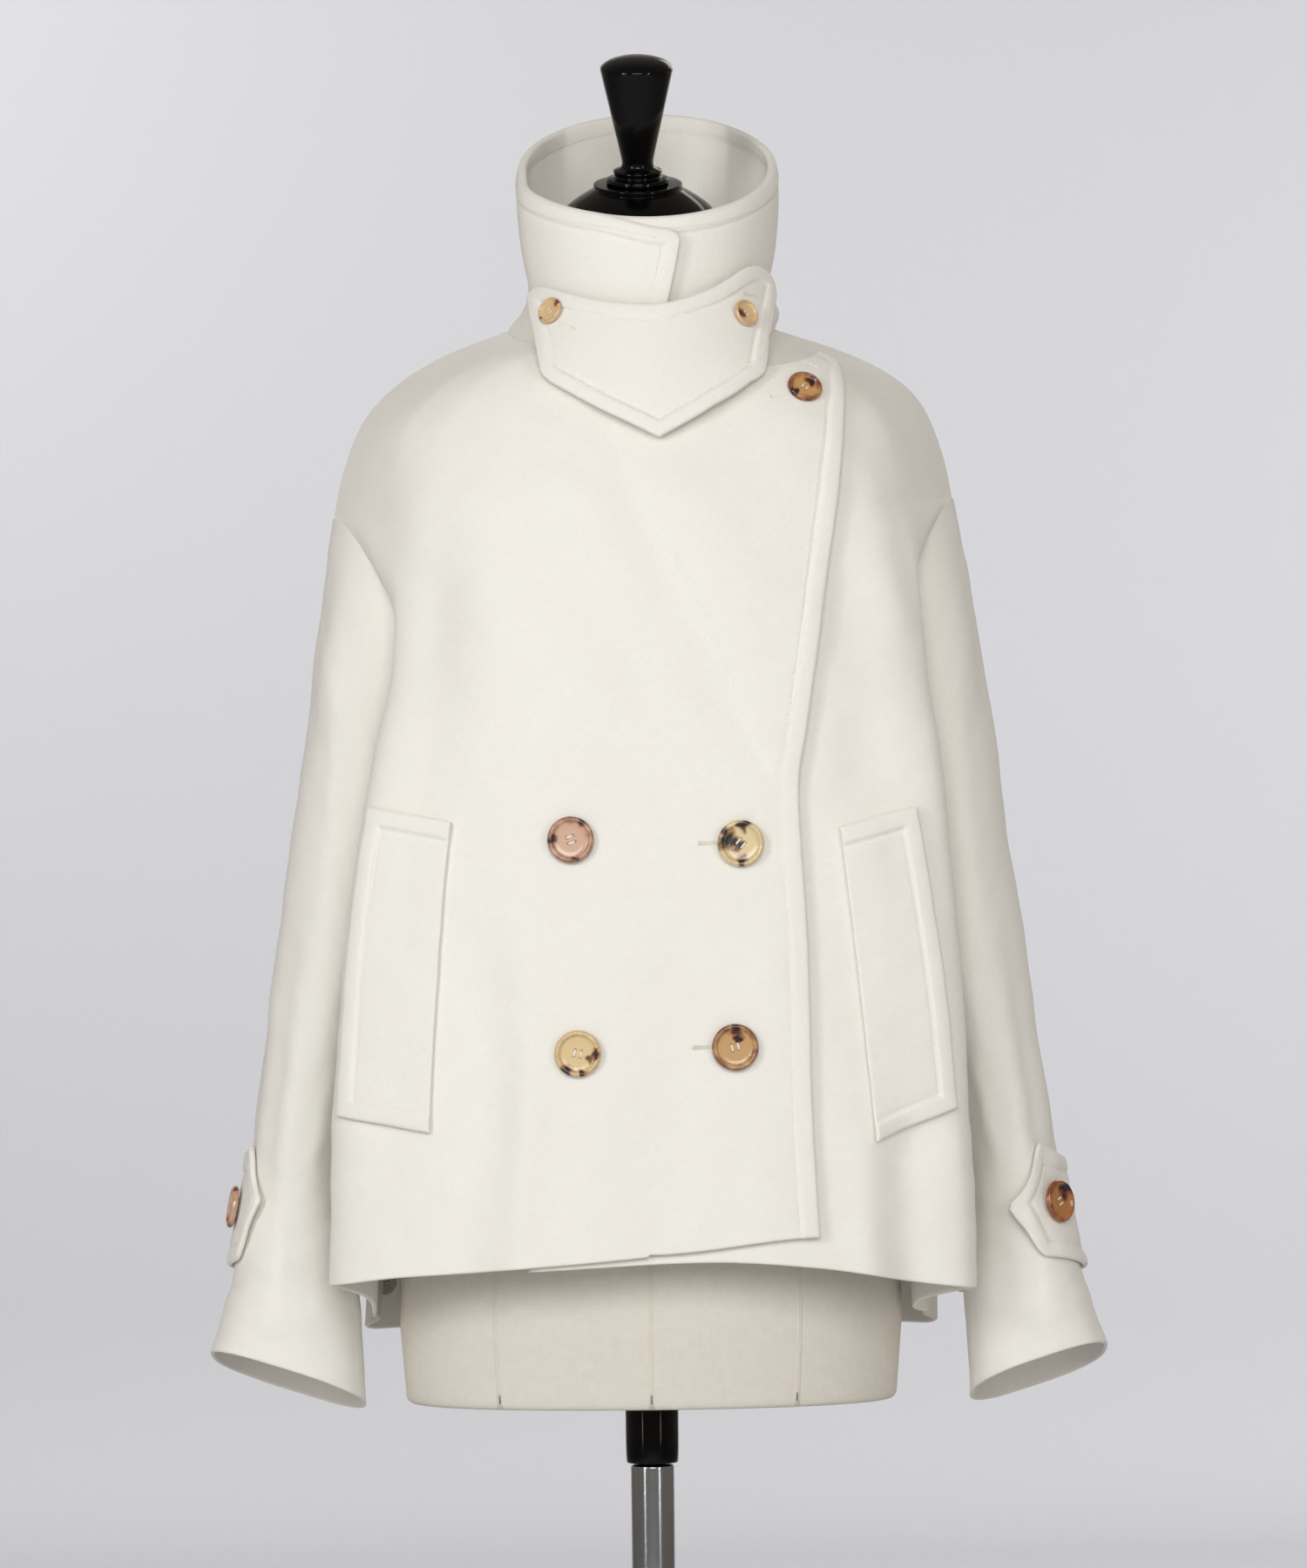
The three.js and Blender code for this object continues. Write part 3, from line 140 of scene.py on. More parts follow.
# Where the seams between each sleeve's top and under pieces run, as angles round it.
SLEEVE_SEAMS = (2.618, 4.189)
RINGS = "outX outZ inX inZ y depth lift"
SLEEVES = {
    -1: table(
        RINGS,
        [
            (214, 1165, 145, 1040, 3, 62, 0),
            (224, 1085, 151, 985, 2, 60, 0),
            (237, 995, 164, 925, 1, 59, 0),
            (251, 905, 181, 868, 0, 59, 0),
            (262, 815, 197, 803, -3, 57, 0),
            (269, 770, 195, 760, -4, 55, 2),
            (278, 722, 191, 704, -4, 55, 7),
            (291, 682, 188, 649, -2, 56, 11),
        ],
    ),
    1: table(
        RINGS,
        [
            (219, 1175, 145, 1045, 3, 62, 0),
            (230, 1095, 152, 990, 2, 60, 0),
            (242, 1000, 168, 930, 1, 59, 0),
            (256, 905, 188, 870, 0, 59, 0),
            (268, 815, 206, 803, -3, 57, 0),
            (276, 770, 206, 759, -4, 55, 2),
            (287, 721, 207, 705, -4, 55, 7),
            (301, 680, 210, 651, -2, 55, 13),
        ],
    ),
}
# The power of each ring's oval: squarer towards the cuff.
OVAL = np.array([0.88, 0.88, 0.88, 0.88, 0.87, 0.84, 0.79, 0.74])
STRAP_HALF, STRAP_TIP, STRAP_END, STRAP_LOOSE, STRAP_BORDER = 0.101, 0.45, -3.5, 1.0, 9.5
STRAP_LIFT, STRAP_LIFT_TURN, STRAP_SKEW, STRAP_SKEW_TURN = 4.0, 0.5, 0.15, 1.2
# Where a strap's front tip lies round and along the sleeve, and how much lower the strap is behind.
STRAP_TIPS = {-1: (1.05, 0.686, 0.04), 1: (1.68, 0.712, 0.03)}
STRAP_BUTTONS = (("outer", 0.76, 1.1), ("inner", 0.42, 0.8))

COLLAR_X = 7.0
COLLAR_WALL = 4.0
COLLAR_RADIUS = 88.0
COLLAR_START, COLLAR_END = -0.42, 2 * np.pi + 0.24
COLLAR_SLANT, COLLAR_DROOP, DROOP_TURN = 0.18, 9.0, 0.65
COLLAR_RINGS = table(
    "t halfX halfY y front back side",
    [
        (0.1, 84, 84, -6, 1337, 1376, 1366),
        (0.3, 78.8, 82, -6, 1354, 1406, 1382),
        (0.6, 84, 84, -5, 1382, 1446, 1412),
        (0.85, 86.6, 86, -3, 1408, 1488, 1446),
        (1, 83.8, 86, -2, 1422, 1508, 1465),
    ],
)
FLAP_CONE = table(
    "z a b", [(1270, 190, 124), (1310, 140, 115.4), (1345, 107, 106), (1372, 95.5, 98.5), (1392, 91.5, 96)]
)
FLAP_TOP = table("x z", [(-75, 1384), (-36, 1370), (10, 1364), (46, 1374), (75, 1391), (91, 1383)])
FLAP_LOW = table("x z", [(-63, 1317), (-27, 1296), (12, 1276), (48, 1297), (72, 1313), (81, 1319)])

# Corners of the pocket welts in the front view: inner top, inner bottom, outer top, outer bottom.
POCKETS = {
    -1: ((-123, 1030), (-139, 831), (-176, 1041), (-198, 842)),
    1: ((124, 1024), (145, 822), (174, 1037), (197, 843)),
}
MAIN_BUTTONS = ((-47, 1017.5), (60.4, 1014), (-44, 881), (55.5, 884))
LAPEL_BUTTON = (105, 1306)
FLAP_BUTTONS = (("left", -56, 1361, 1.5), ("right", 68, 1358, 0.8))
FLAP_HOLES = (("left", -46, 1350.5, -0.6), ("right", 72, 1371, 0.1))
SPARE_BUTTON = (-0.74, 724.0)
BUTTON_HEIGHTS = {"main": 4.6, "cuff": 4.2, "lapel": 4.0, "flap": 3.4}


# ---- smooth tables ----
def cubic(knots, values, at):
    """Cubic through (knot, value) pairs whose slopes are the neighbours' chords: Hermite form
    a(2w^3 - 3w^2 + 1) + b(3w^2 - 2w^3) + step(sa(w^3 - 2w^2 + w) + sb(w^3 - w^2))."""
    knots = np.asarray(knots, float)
    at = np.asarray(at, float)
    last = len(knots) - 1
    i = np.minimum(np.searchsorted(knots[1:last], at, side="left"), last - 1)
    if isinstance(values, (list, tuple)):
        values = np.stack([np.broadcast_to(np.asarray(x, float), at.shape) for x in values])

        def pick(k):
            return np.take_along_axis(values, k[None], 0)[0]
    else:

        def pick(k):
            return values[k]

    def slope(k):
        a, b = np.maximum(k - 1, 0), np.minimum(k + 1, last)
        return (pick(b) - pick(a)) / (knots[b] - knots[a])

    step = knots[i + 1] - knots[i]
    w = (at - knots[i]) / step
    w2, w3 = w * w, w**3
    return (
        pick(i) * (2 * w3 - 3 * w2 + 1)
        + pick(i + 1) * (3 * w2 - 2 * w3)
        + step * (slope(i) * (w3 - 2 * w2 + w) + slope(i + 1) * (w3 - w2))
    )


def look(columns, key, name, at):
    """The column called name as a smooth function of the column called key."""
    return cubic(columns[key], columns[name], at)


def smooth(low, high, x):
    """0 below low, 1 above high, 3w^2 - 2w^3 between."""
    w = np.clip((np.asarray(x, float) - low) / (high - low), 0, 1)
    return w * w * (3 - 2 * w)


def lerp(a, b, w):
    """a + (b - a) w."""
    return a + (b - a) * w


def stack(x, y, z):
    """Points from coordinate arrays."""
    x, y, z = np.broadcast_arrays(x, y, z)
    return np.stack([x, y, z], -1).astype(float)


def unit(vectors):
    """Vectors of length one."""
    return vectors / np.maximum(np.linalg.norm(vectors, axis=-1, keepdims=True), 1e-9)


def waves(x, y, size, seed):
    """Smooth unevenness between about -1 and 1: a sum of six sines of about the given wavelength."""
    rng = np.random.default_rng(seed)
    total = 0
    for _ in range(6):
        turn = rng.uniform(0, 2 * np.pi)
        length = size * rng.uniform(0.7, 1.5)
        total = total + np.sin(
            2 * np.pi * (x * np.cos(turn) + y * np.sin(turn)) / length + rng.uniform(0, 6.28)
        )
    return total / 2.4


# ---- the body's outer surface ----
def shoulder_rise(side, v):
    """Extra height of the right shoulder, fading towards the neck and the underarm."""
    rise = RIGHT_SHOULDER_RISE * (1 - smooth(0.9, 1, v)) * smooth(V_UNDERARM, V_SLEEVE_TOP, v)
    return np.where(side > 0, rise, 0)


def armhole(side, face, angle):
    """The armhole seam: half an ellipse in depth and height, scooped inwards; angle 0 at the underarm."""
    top_x = SHOULDER["x"][0] + np.where(side > 0, 2, 0)
    top_z = SHOULDER["z"][0] + shoulder_rise(side, V_SLEEVE_TOP)
    c, s = np.cos(angle), np.sin(angle)
    scoop = np.where(face < 0, np.where(side > 0, SCOOP_RIGHT, SCOOP_LEFT), SCOOP_BACK)
    reach = np.where(face < 0, ARMHOLE_FRONT, ARMHOLE_BACK)
    x = (SIDE["x"][-1] + top_x) / 2 + c * (SIDE["x"][-1] - top_x) / 2 - scoop * s
    y = (ARMHOLE_LOW_Y + ARMHOLE_TOP_Y) / 2 + c * (ARMHOLE_LOW_Y - ARMHOLE_TOP_Y) / 2 + face * reach * s
    z = (SIDE["z"][-1] + top_z) / 2 + c * (SIDE["z"][-1] - top_z) / 2
    return stack(side * x, y, z)


def side_line(side, face, v):
    """The end of a row: on the side seam, on the armhole or on the shoulder seam."""
    low = stack(side * look(SIDE, "v", "x", v), look(SIDE, "v", "y", v), look(SIDE, "v", "z", v))
    middle = armhole(side, face, np.pi * (v - V_UNDERARM) / (V_SLEEVE_TOP - V_UNDERARM))
    top_x = look(SHOULDER, "v", "x", v) + np.where(side > 0, 2 * (1 - smooth(0.9, 1, v)), 0)
    top = stack(
        side * top_x, look(SHOULDER, "v", "y", v), look(SHOULDER, "v", "z", v) + shoulder_rise(side, v)
    )
    which = (v > V_UNDERARM).astype(int) + (v > V_SLEEVE_TOP)
    return np.where(which[..., None] == 0, low, np.where(which[..., None] == 1, middle, top))


def body_point(face, p, v):
    """A point of the body: face -1 front, +1 back; p from 0 at the centre to 1 or -1 at the side."""
    p, v = np.broadcast_arrays(np.asarray(p, float), np.asarray(v, float))
    face = np.asarray(face)
    side = np.where(p < 0, -1, 1)
    q = np.abs(p)
    end = side_line(side, face, v)
    front = face < 0
    depth = np.where(front, look(LEVELS, "v", "F", v), look(LEVELS, "v", "K", v))
    centre = np.where(front, look(LEVELS, "v", "front", v), look(LEVELS, "v", "back", v))
    ridge = np.where(side > 0, look(LEVELS, "v", "ridgeR", v), look(LEVELS, "v", "ridgeL", v))
    turn_x = np.where(front, ridge, look(LEVELS, "v", "rearX", v))
    turn_y = np.where(front, look(LEVELS, "v", "ridgeY", v), look(LEVELS, "v", "rearY", v))
    drop = depth - np.abs(turn_y)
    end_x = np.abs(end[..., 0])
    tuck = lerp(0.97, 0.6, smooth(V_UNDERARM, V_SLEEVE_TOP, v))
    xs = [0 * q, 0.41 * turn_x, 0.77 * turn_x, turn_x, turn_x + tuck * (end_x - turn_x), end_x]
    ys = [
        face * depth,
        face * (depth - 0.07 * drop),
        face * (depth - 0.4 * drop),
        turn_y,
        turn_y + 0.5 * (end[..., 1] - turn_y),
        end[..., 1],
    ]
    w = q / ROW_KNOTS[1]
    level_start = ys[0] * (2 * w**3 - 3 * w**2 + 1) + ys[1] * (3 * w**2 - 2 * w**3)
    level_start = level_start + ROW_KNOTS[1] * (ys[2] - ys[0]) / ROW_KNOTS[2] * (w**3 - w**2)
    y = np.where(q < ROW_KNOTS[1], level_start, cubic(ROW_KNOTS, ys, q))
    return stack(side * cubic(ROW_KNOTS, xs, q), y, centre + (end[..., 2] - centre) * q**3)


def body_normal(face, p, v):
    """The body's outward direction, from small steps across and up."""
    step = 0.004
    p, v = np.broadcast_arrays(np.asarray(p, float), np.asarray(v, float))
    across = body_point(face, np.minimum(p + step, 1), v) - body_point(face, np.maximum(p - step, -1), v)
    up = body_point(face, p, np.minimum(v + step, 1)) - body_point(face, p, v - step)
    return unit(np.cross(up, across) * (np.asarray(face)[..., None] if np.ndim(face) else face))


def seam_normal(side, v):
    """The direction shared by front and back at their seam."""
    return unit(body_normal(-1, side * 0.999, v) + body_normal(1, side * 0.999, v))


def inward(face, p, v, normal):
    """The direction along the surface from a side seam into the panel."""
    direction = body_point(face, p * 0.985, v) - body_point(face, p, v)
    return unit(direction - normal * np.sum(direction * normal, -1, keepdims=True))


def locate(x, z):
    """The place (p, v) on the front whose front view is (x, z), by Newton steps."""
    x, z = np.broadcast_arrays(np.asarray(x, float), np.asarray(z, float))
    p = np.clip(x / 220, -0.75, 0.75)
    v = np.clip((z - 680) / 660, 0, 0.97)
    step = 0.001
    for _ in range(30):
        here = body_point(-1, p, v)
        along_p = (body_point(-1, p + step, v) - here) / step
        along_v = (body_point(-1, p, v + step) - here) / step
        det = along_p[..., 0] * along_v[..., 2] - along_v[..., 0] * along_p[..., 2]
        dx, dz = x - here[..., 0], z - here[..., 2]
        p = np.clip(p + 0.7 * (dx * along_v[..., 2] - dz * along_v[..., 0]) / det, -0.86, 0.86)
        v = np.clip(v + 0.7 * (dz * along_p[..., 0] - dx * along_p[..., 2]) / det, -0.05, 0.998)
    return p, v


def level_of(face, p, z):
    """The level v at which the surface has height z, by halving."""
    low = np.full(np.shape(z), -0.1)
    high = np.full(np.shape(z), 0.6)
    for _ in range(24):
        middle = (low + high) / 2
        under = body_point(face, p, middle)[..., 2] < z
        low, high = np.where(under, middle, low), np.where(under, high, middle)
    return (low + high) / 2


# ---- folds ----
# Soft troughs (negative depth) and ridges between two places of the front or back view:
# x0, z0, x1, z1, width, depth, wobble of the line.
FRONT_SEED, BACK_SEED = 11, 31
FRONT_FOLDS = (
    (-100, 1010, -112, 735, 20, -5, 3),
    (-76, 960, -80, 735, 12, 3.5, 2),
    (-28, 1290, 82, 1045, 16, -3, 0),
    (-66, 1250, 20, 1060, 16, -2.5, 4),
    (146, 1270, 168, 1120, 14, 3, 2),
    (120, 1230, 150, 1010, 18, -3, 3),
    (160, 860, 176, 722, 17, -7, 2),
    (138, 850, 142, 730, 12, 2.5, 2),
    (198, 860, 204, 722, 9, 2, 1),
    (-150, 1280, -152, 1120, 14, 2.5, 2),
    (-120, 1240, -140, 1060, 20, -3, 3),
    (-20, 1000, -34, 735, 24, 1.6, 3),
    (18, 985, 12, 735, 18, -1.4, 4),
    (80, 1000, 74, 735, 20, 1.2, 3),
    (-10, 1180, -70, 1060, 14, 1.2, 3),
)
BACK_FOLDS = (
    (-60, 1180, -92, 690, 22, -6, 5),
    (48, 1120, 84, 690, 24, -6, 5),
    (-8, 1090, -14, 690, 26, 5, 5),
    (132, 1080, 146, 690, 24, 2, 4),
    (-130, 1060, -140, 690, 24, 2, 4),
    (-150, 1250, -120, 1120, 14, -3, 3),
    (150, 1250, 118, 1110, 14, -3, 3),
    (-70, 1300, 60, 1270, 18, -1.2, 3),
)
# Folds of the sleeves: angle round the sleeve, start and end along it, width, depth, slant.
SLEEVE_FOLDS = (
    (2.2, 0.15, 0.75, 0.35, -5, 0.0),
    (0.9, 0.3, 0.8, 0.3, -3, 0.3),
    (1.5, 0.55, 1.05, 0.3, 3, -0.1),
    (-1.2, 0.2, 0.7, 0.35, -5, 0.3),
    (-2.1, 0.5, 0.95, 0.3, -4, -0.2),
    (0.35, 0.0, 0.3, 0.3, -2.5, 0.0),
    (1.25, 0.1, 0.5, 0.2, 1.6, 0.5),
    (0.2, 0.42, 0.72, 0.22, -1.6, 0.6),
    (1.75, 0.38, 0.7, 0.22, -1.8, -0.5),
    (-0.6, 0.45, 0.75, 0.25, -1.8, -0.5),
)


def fold_height(folds, x, z, seed):
    """Each fold is a bell across its line, exp(-(off / width)^2), that rises over its first third;
    its line wobbles and its depth varies along it."""
    height = 0
    for k, (x0, z0, x1, z1, width, depth, wobble) in enumerate(folds):
        length = np.hypot(x1 - x0, z1 - z0)
        ux, uz = (x1 - x0) / length, (z1 - z0) / length
        run = (x - x0) * ux + (z - z0) * uz
        sway = wobble * np.sin(run / 31 + 1.7 * k) * smooth(0, 0.4, run / length)
        off = (x - x0) * uz - (z - z0) * ux - sway
        reach = smooth(0, 0.35, run / length)
        if z1 > 745:
            reach = reach * (1 - smooth(0.7, 1, run / length))
        uneven = 1 + 0.18 * np.sin(run / 23 + 2.3 * k)
        height = height + depth * reach * uneven * np.exp(-((off / width) ** 2))
    return height + 0.55 * waves(x, z, 95, seed) + 0.22 * waves(x, z, 34, seed + 1)


def overlap_step(x, p):
    """How far the upper front stands out: nothing at the side, all of it over the lower front's edge."""
    from_shoulder = np.where(p < 0, smooth(0.05, 0.35, 1 + p), 1)
    return OVERLAP_STEP * smooth(UNDER_EDGE_X - STEP_WIDTH, UNDER_EDGE_X - 4, x) * from_shoulder


def front_height(x, z, upper):
    """Height of the surface over the plain body at a place of the front view."""
    step = overlap_step(x, np.zeros(np.shape(x))) if upper else 0
    return step + fold_height(FRONT_FOLDS, x, z, FRONT_SEED)


def sleeve_fold(side, angle, s):
    """Height of the sleeve's folds: bells round the sleeve that fade at both ends, with small unevenness."""
    height = 0
    for around, s0, s1, width, depth, slant in SLEEVE_FOLDS:
        w = (s - s0) / (s1 - s0)
        turn = angle - around - slant * (w - 0.5)
        turn = np.arctan2(np.sin(turn), np.cos(turn))
        bell = np.exp(-((turn / width) ** 2))
        height = height + depth * smooth(0, 0.4, w) * (1 - smooth(0.6, 1, w)) * bell
    round_, ahead = SLEEVE_RADIUS * np.sin(angle), SLEEVE_RADIUS * np.cos(angle)
    along = SLEEVE_LENGTH * s
    broad, fine = waves(round_ + 0.6 * ahead, along, 80, 21 + side), waves(ahead, along, 36, 25)
    return height + 0.6 * broad + 0.25 * fine


# Which of a panel's edges are rounded: all but the neck's, which is sewn to the collar.
HUNG = (True, False, True, True)


# ---- meshes ----
def faces_out(points, quads, tris):
    """Faces turned outwards: all are flipped if the closed mesh's signed volume, the sum of a.(b x c) / 6,
    is negative."""
    a, b, c, d = (points[quads[:, k]] for k in range(4))
    volume = np.sum(a * np.cross(b, c)) + np.sum(a * np.cross(c, d))
    if len(tris):
        volume += np.sum(points[tris[:, 0]] * np.cross(points[tris[:, 1]], points[tris[:, 2]]))
    return (quads, tris) if volume > 0 else (quads[:, ::-1], tris[:, ::-1])


def new_object(name, points, quads, material, uv=None, tris=np.zeros((0, 3), int)):
    """A smooth-shaded mesh object in metres from points in millimetres and their faces."""
    quads, tris = faces_out(points, quads, tris)
    corners = np.concatenate([quads.ravel(), tris.ravel()])
    sizes = np.concatenate([np.full(len(quads), 4), np.full(len(tris), 3)])
    starts = np.concatenate([[0], np.cumsum(sizes)[:-1]])
    mesh = bpy.data.meshes.new(name)
    mesh.vertices.add(len(points))
    mesh.vertices.foreach_set("co", (points * MM).astype(np.float32).ravel())
    mesh.loops.add(len(corners))
    mesh.loops.foreach_set("vertex_index", corners.astype(np.int32))
    mesh.polygons.add(len(sizes))
    mesh.polygons.foreach_set("loop_start", starts.astype(np.int32))
    mesh.polygons.foreach_set("loop_total", sizes.astype(np.int32))
    mesh.polygons.foreach_set("use_smooth", np.ones(len(sizes), bool))
    if uv is not None:
        layer = mesh.uv_layers.new(name="cloth")
        layer.uv.foreach_set("vector", (uv[corners] * MM).astype(np.float32).ravel())
    mesh.update(calc_edges=True)
    mesh.validate()
    mesh.materials.append(material)
    obj = bpy.data.objects.new(name, mesh)
    bpy.context.scene.collection.objects.link(obj)
    return obj


def grid_faces(rows, cols, loop, shift=0):
    """The quads of a grid of rows by cols points, closed round its columns when loop is set."""
    r, c = np.meshgrid(np.arange(rows - 1), np.arange(cols if loop else cols - 1), indexing="ij")
    nxt = (c + 1) % cols
    corners = (r * cols + c, r * cols + nxt, (r + 1) * cols + nxt, (r + 1) * cols + c)
    return np.stack(corners, -1).reshape(-1, 4) + shift


def wall_faces(rows, cols, loop):
    """The quads of a closed wall between an outer and an inner grid."""
    count = rows * cols
    outer = grid_faces(rows, cols, loop)
    inner = grid_faces(rows, cols, loop, count)[:, ::-1]
    c = np.arange(cols if loop else cols - 1)
    nxt = (c + 1) % cols
    last = (rows - 1) * cols
    low = np.stack([c, c + count, nxt + count, nxt], -1)
    high = np.stack([last + c, last + nxt, last + nxt + count, last + c + count], -1)
    parts = [outer, inner, low, high]
    if not loop:
        r = np.arange(rows - 1) * cols
        parts.append(np.stack([r, r + cols, r + cols + count, r + count], -1))
        e = r + cols - 1
        parts.append(np.stack([e, e + count, e + cols + count, e + cols], -1))
    return np.concatenate(parts)


def run_length(points, axis):
    """Length along the grid lines of one axis, in millimetres."""
    steps = np.linalg.norm(np.diff(points, axis=axis), axis=-1)
    total = np.cumsum(steps, axis=axis)
    pad = [(0, 0), (0, 0)]
    pad[axis] = (1, 0)
    return np.pad(total, pad)


def edge_distances(points):
    """Distance of each grid point to the grid's first and last row and first and last column."""
    up, across = run_length(points, 0), run_length(points, 1)
    return up, up[-1:] - up, across, across[:, -1:] - across


def rounded(distance, radius):
    """Share of a wall's half thickness near an edge: a quarter circle, sqrt(1 - (1 - d / r)^2)."""
    w = np.clip(distance / radius, 0, 1)
    return np.maximum(np.sqrt(np.clip(1 - (1 - w) ** 2, 0, 1)), 0.12)


def hem_border(distance, width=BORDER, rise=BORDER_RISE):
    """Height of a topstitched border: raised up to its stitch line, with a soft groove on the line."""
    swell = 0.75 + 0.35 * np.sin(np.pi * np.clip(distance / width, 0, 1))
    plateau = rise * swell * (1 - smooth(width - 2, width + 1.5, distance))
    groove = GROOVE_DEPTH * np.exp(-(((distance - width) / GROOVE_WIDTH) ** 2))
    return plateau - groove


def cloth(name, points, normals, outer, inner, material, loop=False, edges=(True, True, True, True), uv=None):
    """A closed wall of cloth between the heights outer and inner over a grid of points, its edges rounded."""
    ways = edge_distances(points)
    near = np.full(points.shape[:2], 1e9)
    for way, used in zip(ways, edges):
        if used and not (loop and way is ways[2]) and not (loop and way is ways[3]):
            near = np.minimum(near, way)
    half = (outer - inner) / 2
    middle = (outer + inner) / 2
    half = half * rounded(near, np.abs(half))
    over = points + normals * (middle + half)[..., None]
    under = points + normals * (middle - half)[..., None]
    rows, cols = points.shape[:2]
    everything = np.concatenate([over.reshape(-1, 3), under.reshape(-1, 3)])
    if uv is None:
        uv = np.stack([run_length(points, 1), run_length(points, 0)], -1)
    both = np.concatenate([uv.reshape(-1, 2), uv.reshape(-1, 2)])
    obj = new_object(name, everything, wall_faces(rows, cols, loop), material, both)
    return obj, over


def merged(parts, digits=7):
    """The distinct values of several arrays, rounded and in order."""
    return np.unique(np.round(np.concatenate(parts), digits))


def fractions(count, length, edge=(0.25, 0.7, 1.3, 2.2)):
    """Even fractions of a length, with extra lines near both ends; lengths are in millimetres."""
    near = np.array(edge) / length
    return merged([np.linspace(0, 1, count), near, 1 - near])


def finish_piece(obj, nodes, slot, flat=None, area=None, rests_on=(), with_pieces=(), held="hung"):
    """Puts a piece on the coat's body and hides the solids it stands for."""
    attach(obj, "root")
    if nodes:
        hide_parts(*nodes)
    return obj


# ---- stitches ----
def sewn(name, points, faces):
    """A piece of sewing thread, put on the coat's body."""
    return finish_piece(new_object(name, points, faces, material_of("thread")), (), "wool")


def capsule(length, radius, sides=6):
    """Points and faces of a short thread along x: rings of radius r sqrt(1 - t^2) at its round ends."""
    stations = np.array([-1, -0.93, -0.75, 0.75, 0.93, 1])
    radii = radius * np.array([0.1, 0.7, 1, 1, 0.7, 0.1])
    turn = np.arange(sides) * 2 * np.pi / sides
    x = np.repeat(stations * length / 2, sides)
    y = (radii[:, None] * np.cos(turn)).ravel()
    z = (radii[:, None] * np.sin(turn)).ravel()
    faces = grid_faces(len(stations), sides, True)
    quads = np.arange(sides // 2 - 1)
    caps = []
    for start, flip in ((0, -1), ((len(stations) - 1) * sides, 1)):
        corners = [0 * quads, quads * 2 + 1, quads * 2 + 2, np.minimum(quads * 2 + 3, sides - 1)]
        caps.append((np.stack(corners, -1) + start)[:, ::flip])
    return np.stack([x, y, z], -1), np.concatenate([faces] + caps)


def placed(shape, faces, origins, xs, zs):
    """Copies of a shape at origins, its x along xs and its z as near zs as that allows."""
    xs = unit(xs)
    ys = unit(np.cross(zs, xs))
    zs = np.cross(xs, ys)
    axes = np.stack([xs, ys, zs], 1)
    points = origins[:, None, :] + np.einsum("pk,nkc->npc", shape, axes)
    shifts = np.arange(len(origins))[:, None, None] * len(shape)
    return points.reshape(-1, 3), (faces[None] + shifts).reshape(-1, 4)


def stitch_row(line, normals, pitch=3.7, length=2.5, radius=0.27, sink=0.05):
    """Threads laid end to end along a line of surface points, at equal distances."""
    lengths = np.concatenate([[0], np.cumsum(np.linalg.norm(np.diff(line, axis=0), axis=1))])
    at = np.arange(pitch, lengths[-1] - pitch / 2, pitch)

    def take(values, where):
        return np.stack([np.interp(where, lengths, values[:, k]) for k in range(3)], -1)

    middle = take(line, at) + take(normals, at) * (radius - sink)
    ahead = take(line, at + 0.6) - take(line, at - 0.6)
    shape, faces = capsule(length, radius)
    return placed(shape, faces, middle, ahead, take(normals, at))


def join_parts(parts):
    """One set of points and faces from several."""
    points, faces, count = [], [], 0
    for p, f in parts:
        points.append(p)
        faces.append(f + count)
        count += len(p)
    return np.concatenate(points), np.concatenate(faces)


def stitches(name, rows):
    """One object of all the stitches sewn on a piece; rows are (line, normals) pairs."""
    points, faces = join_parts([stitch_row(line, normals) for line, normals in rows])
    return sewn(name, points, faces)


# ---- the coat's panels ----
ROW_LEVELS = fractions(190, 640)


def row_level(v, hem):
    """Rows start at the hem and reach their own level above the pockets."""
    return v + hem * (1 - smooth(0, 0.6, v))


def hem_level(hem, p):
    """The level of the hem at p: its height over most of the front, running to the side seam's height."""
    edge = np.where(p < 0, hem["z"][0], hem["z"][-1])
    at_side = lerp(edge, SIDE_HEM_Z, smooth(0.8, 1, np.abs(p)))
    x = body_point(-1, p, 0.09)[..., 0]
    inner = cubic(hem["x"], hem["z"], np.clip(x, hem["x"][0], hem["x"][-1]))
    return level_of(-1, p, np.where(np.abs(p) > 0.8, at_side, inner))


def panel_base(face, p, v, folds, seed):
    """Base points, directions and fold heights of a panel; its folds fade at the side and at the neck."""
    base = body_point(face, p, v)
    at_side = (np.abs(p) > 0.9985)[..., None]
    side = np.where(p < 0, -1, 1)
    normal = np.where(at_side, seam_normal(side, v), body_normal(face, p, v))
    base = base + np.where(at_side, inward(face, np.sign(p + 1e-9), v, normal) * SEAM / 2, 0)
    fade = smooth(0, 0.06, 1 - np.abs(p)) * (1 - smooth(0.97, 1, v))
    return base, normal, fold_height(folds, base[..., 0], base[..., 2], seed) * fade


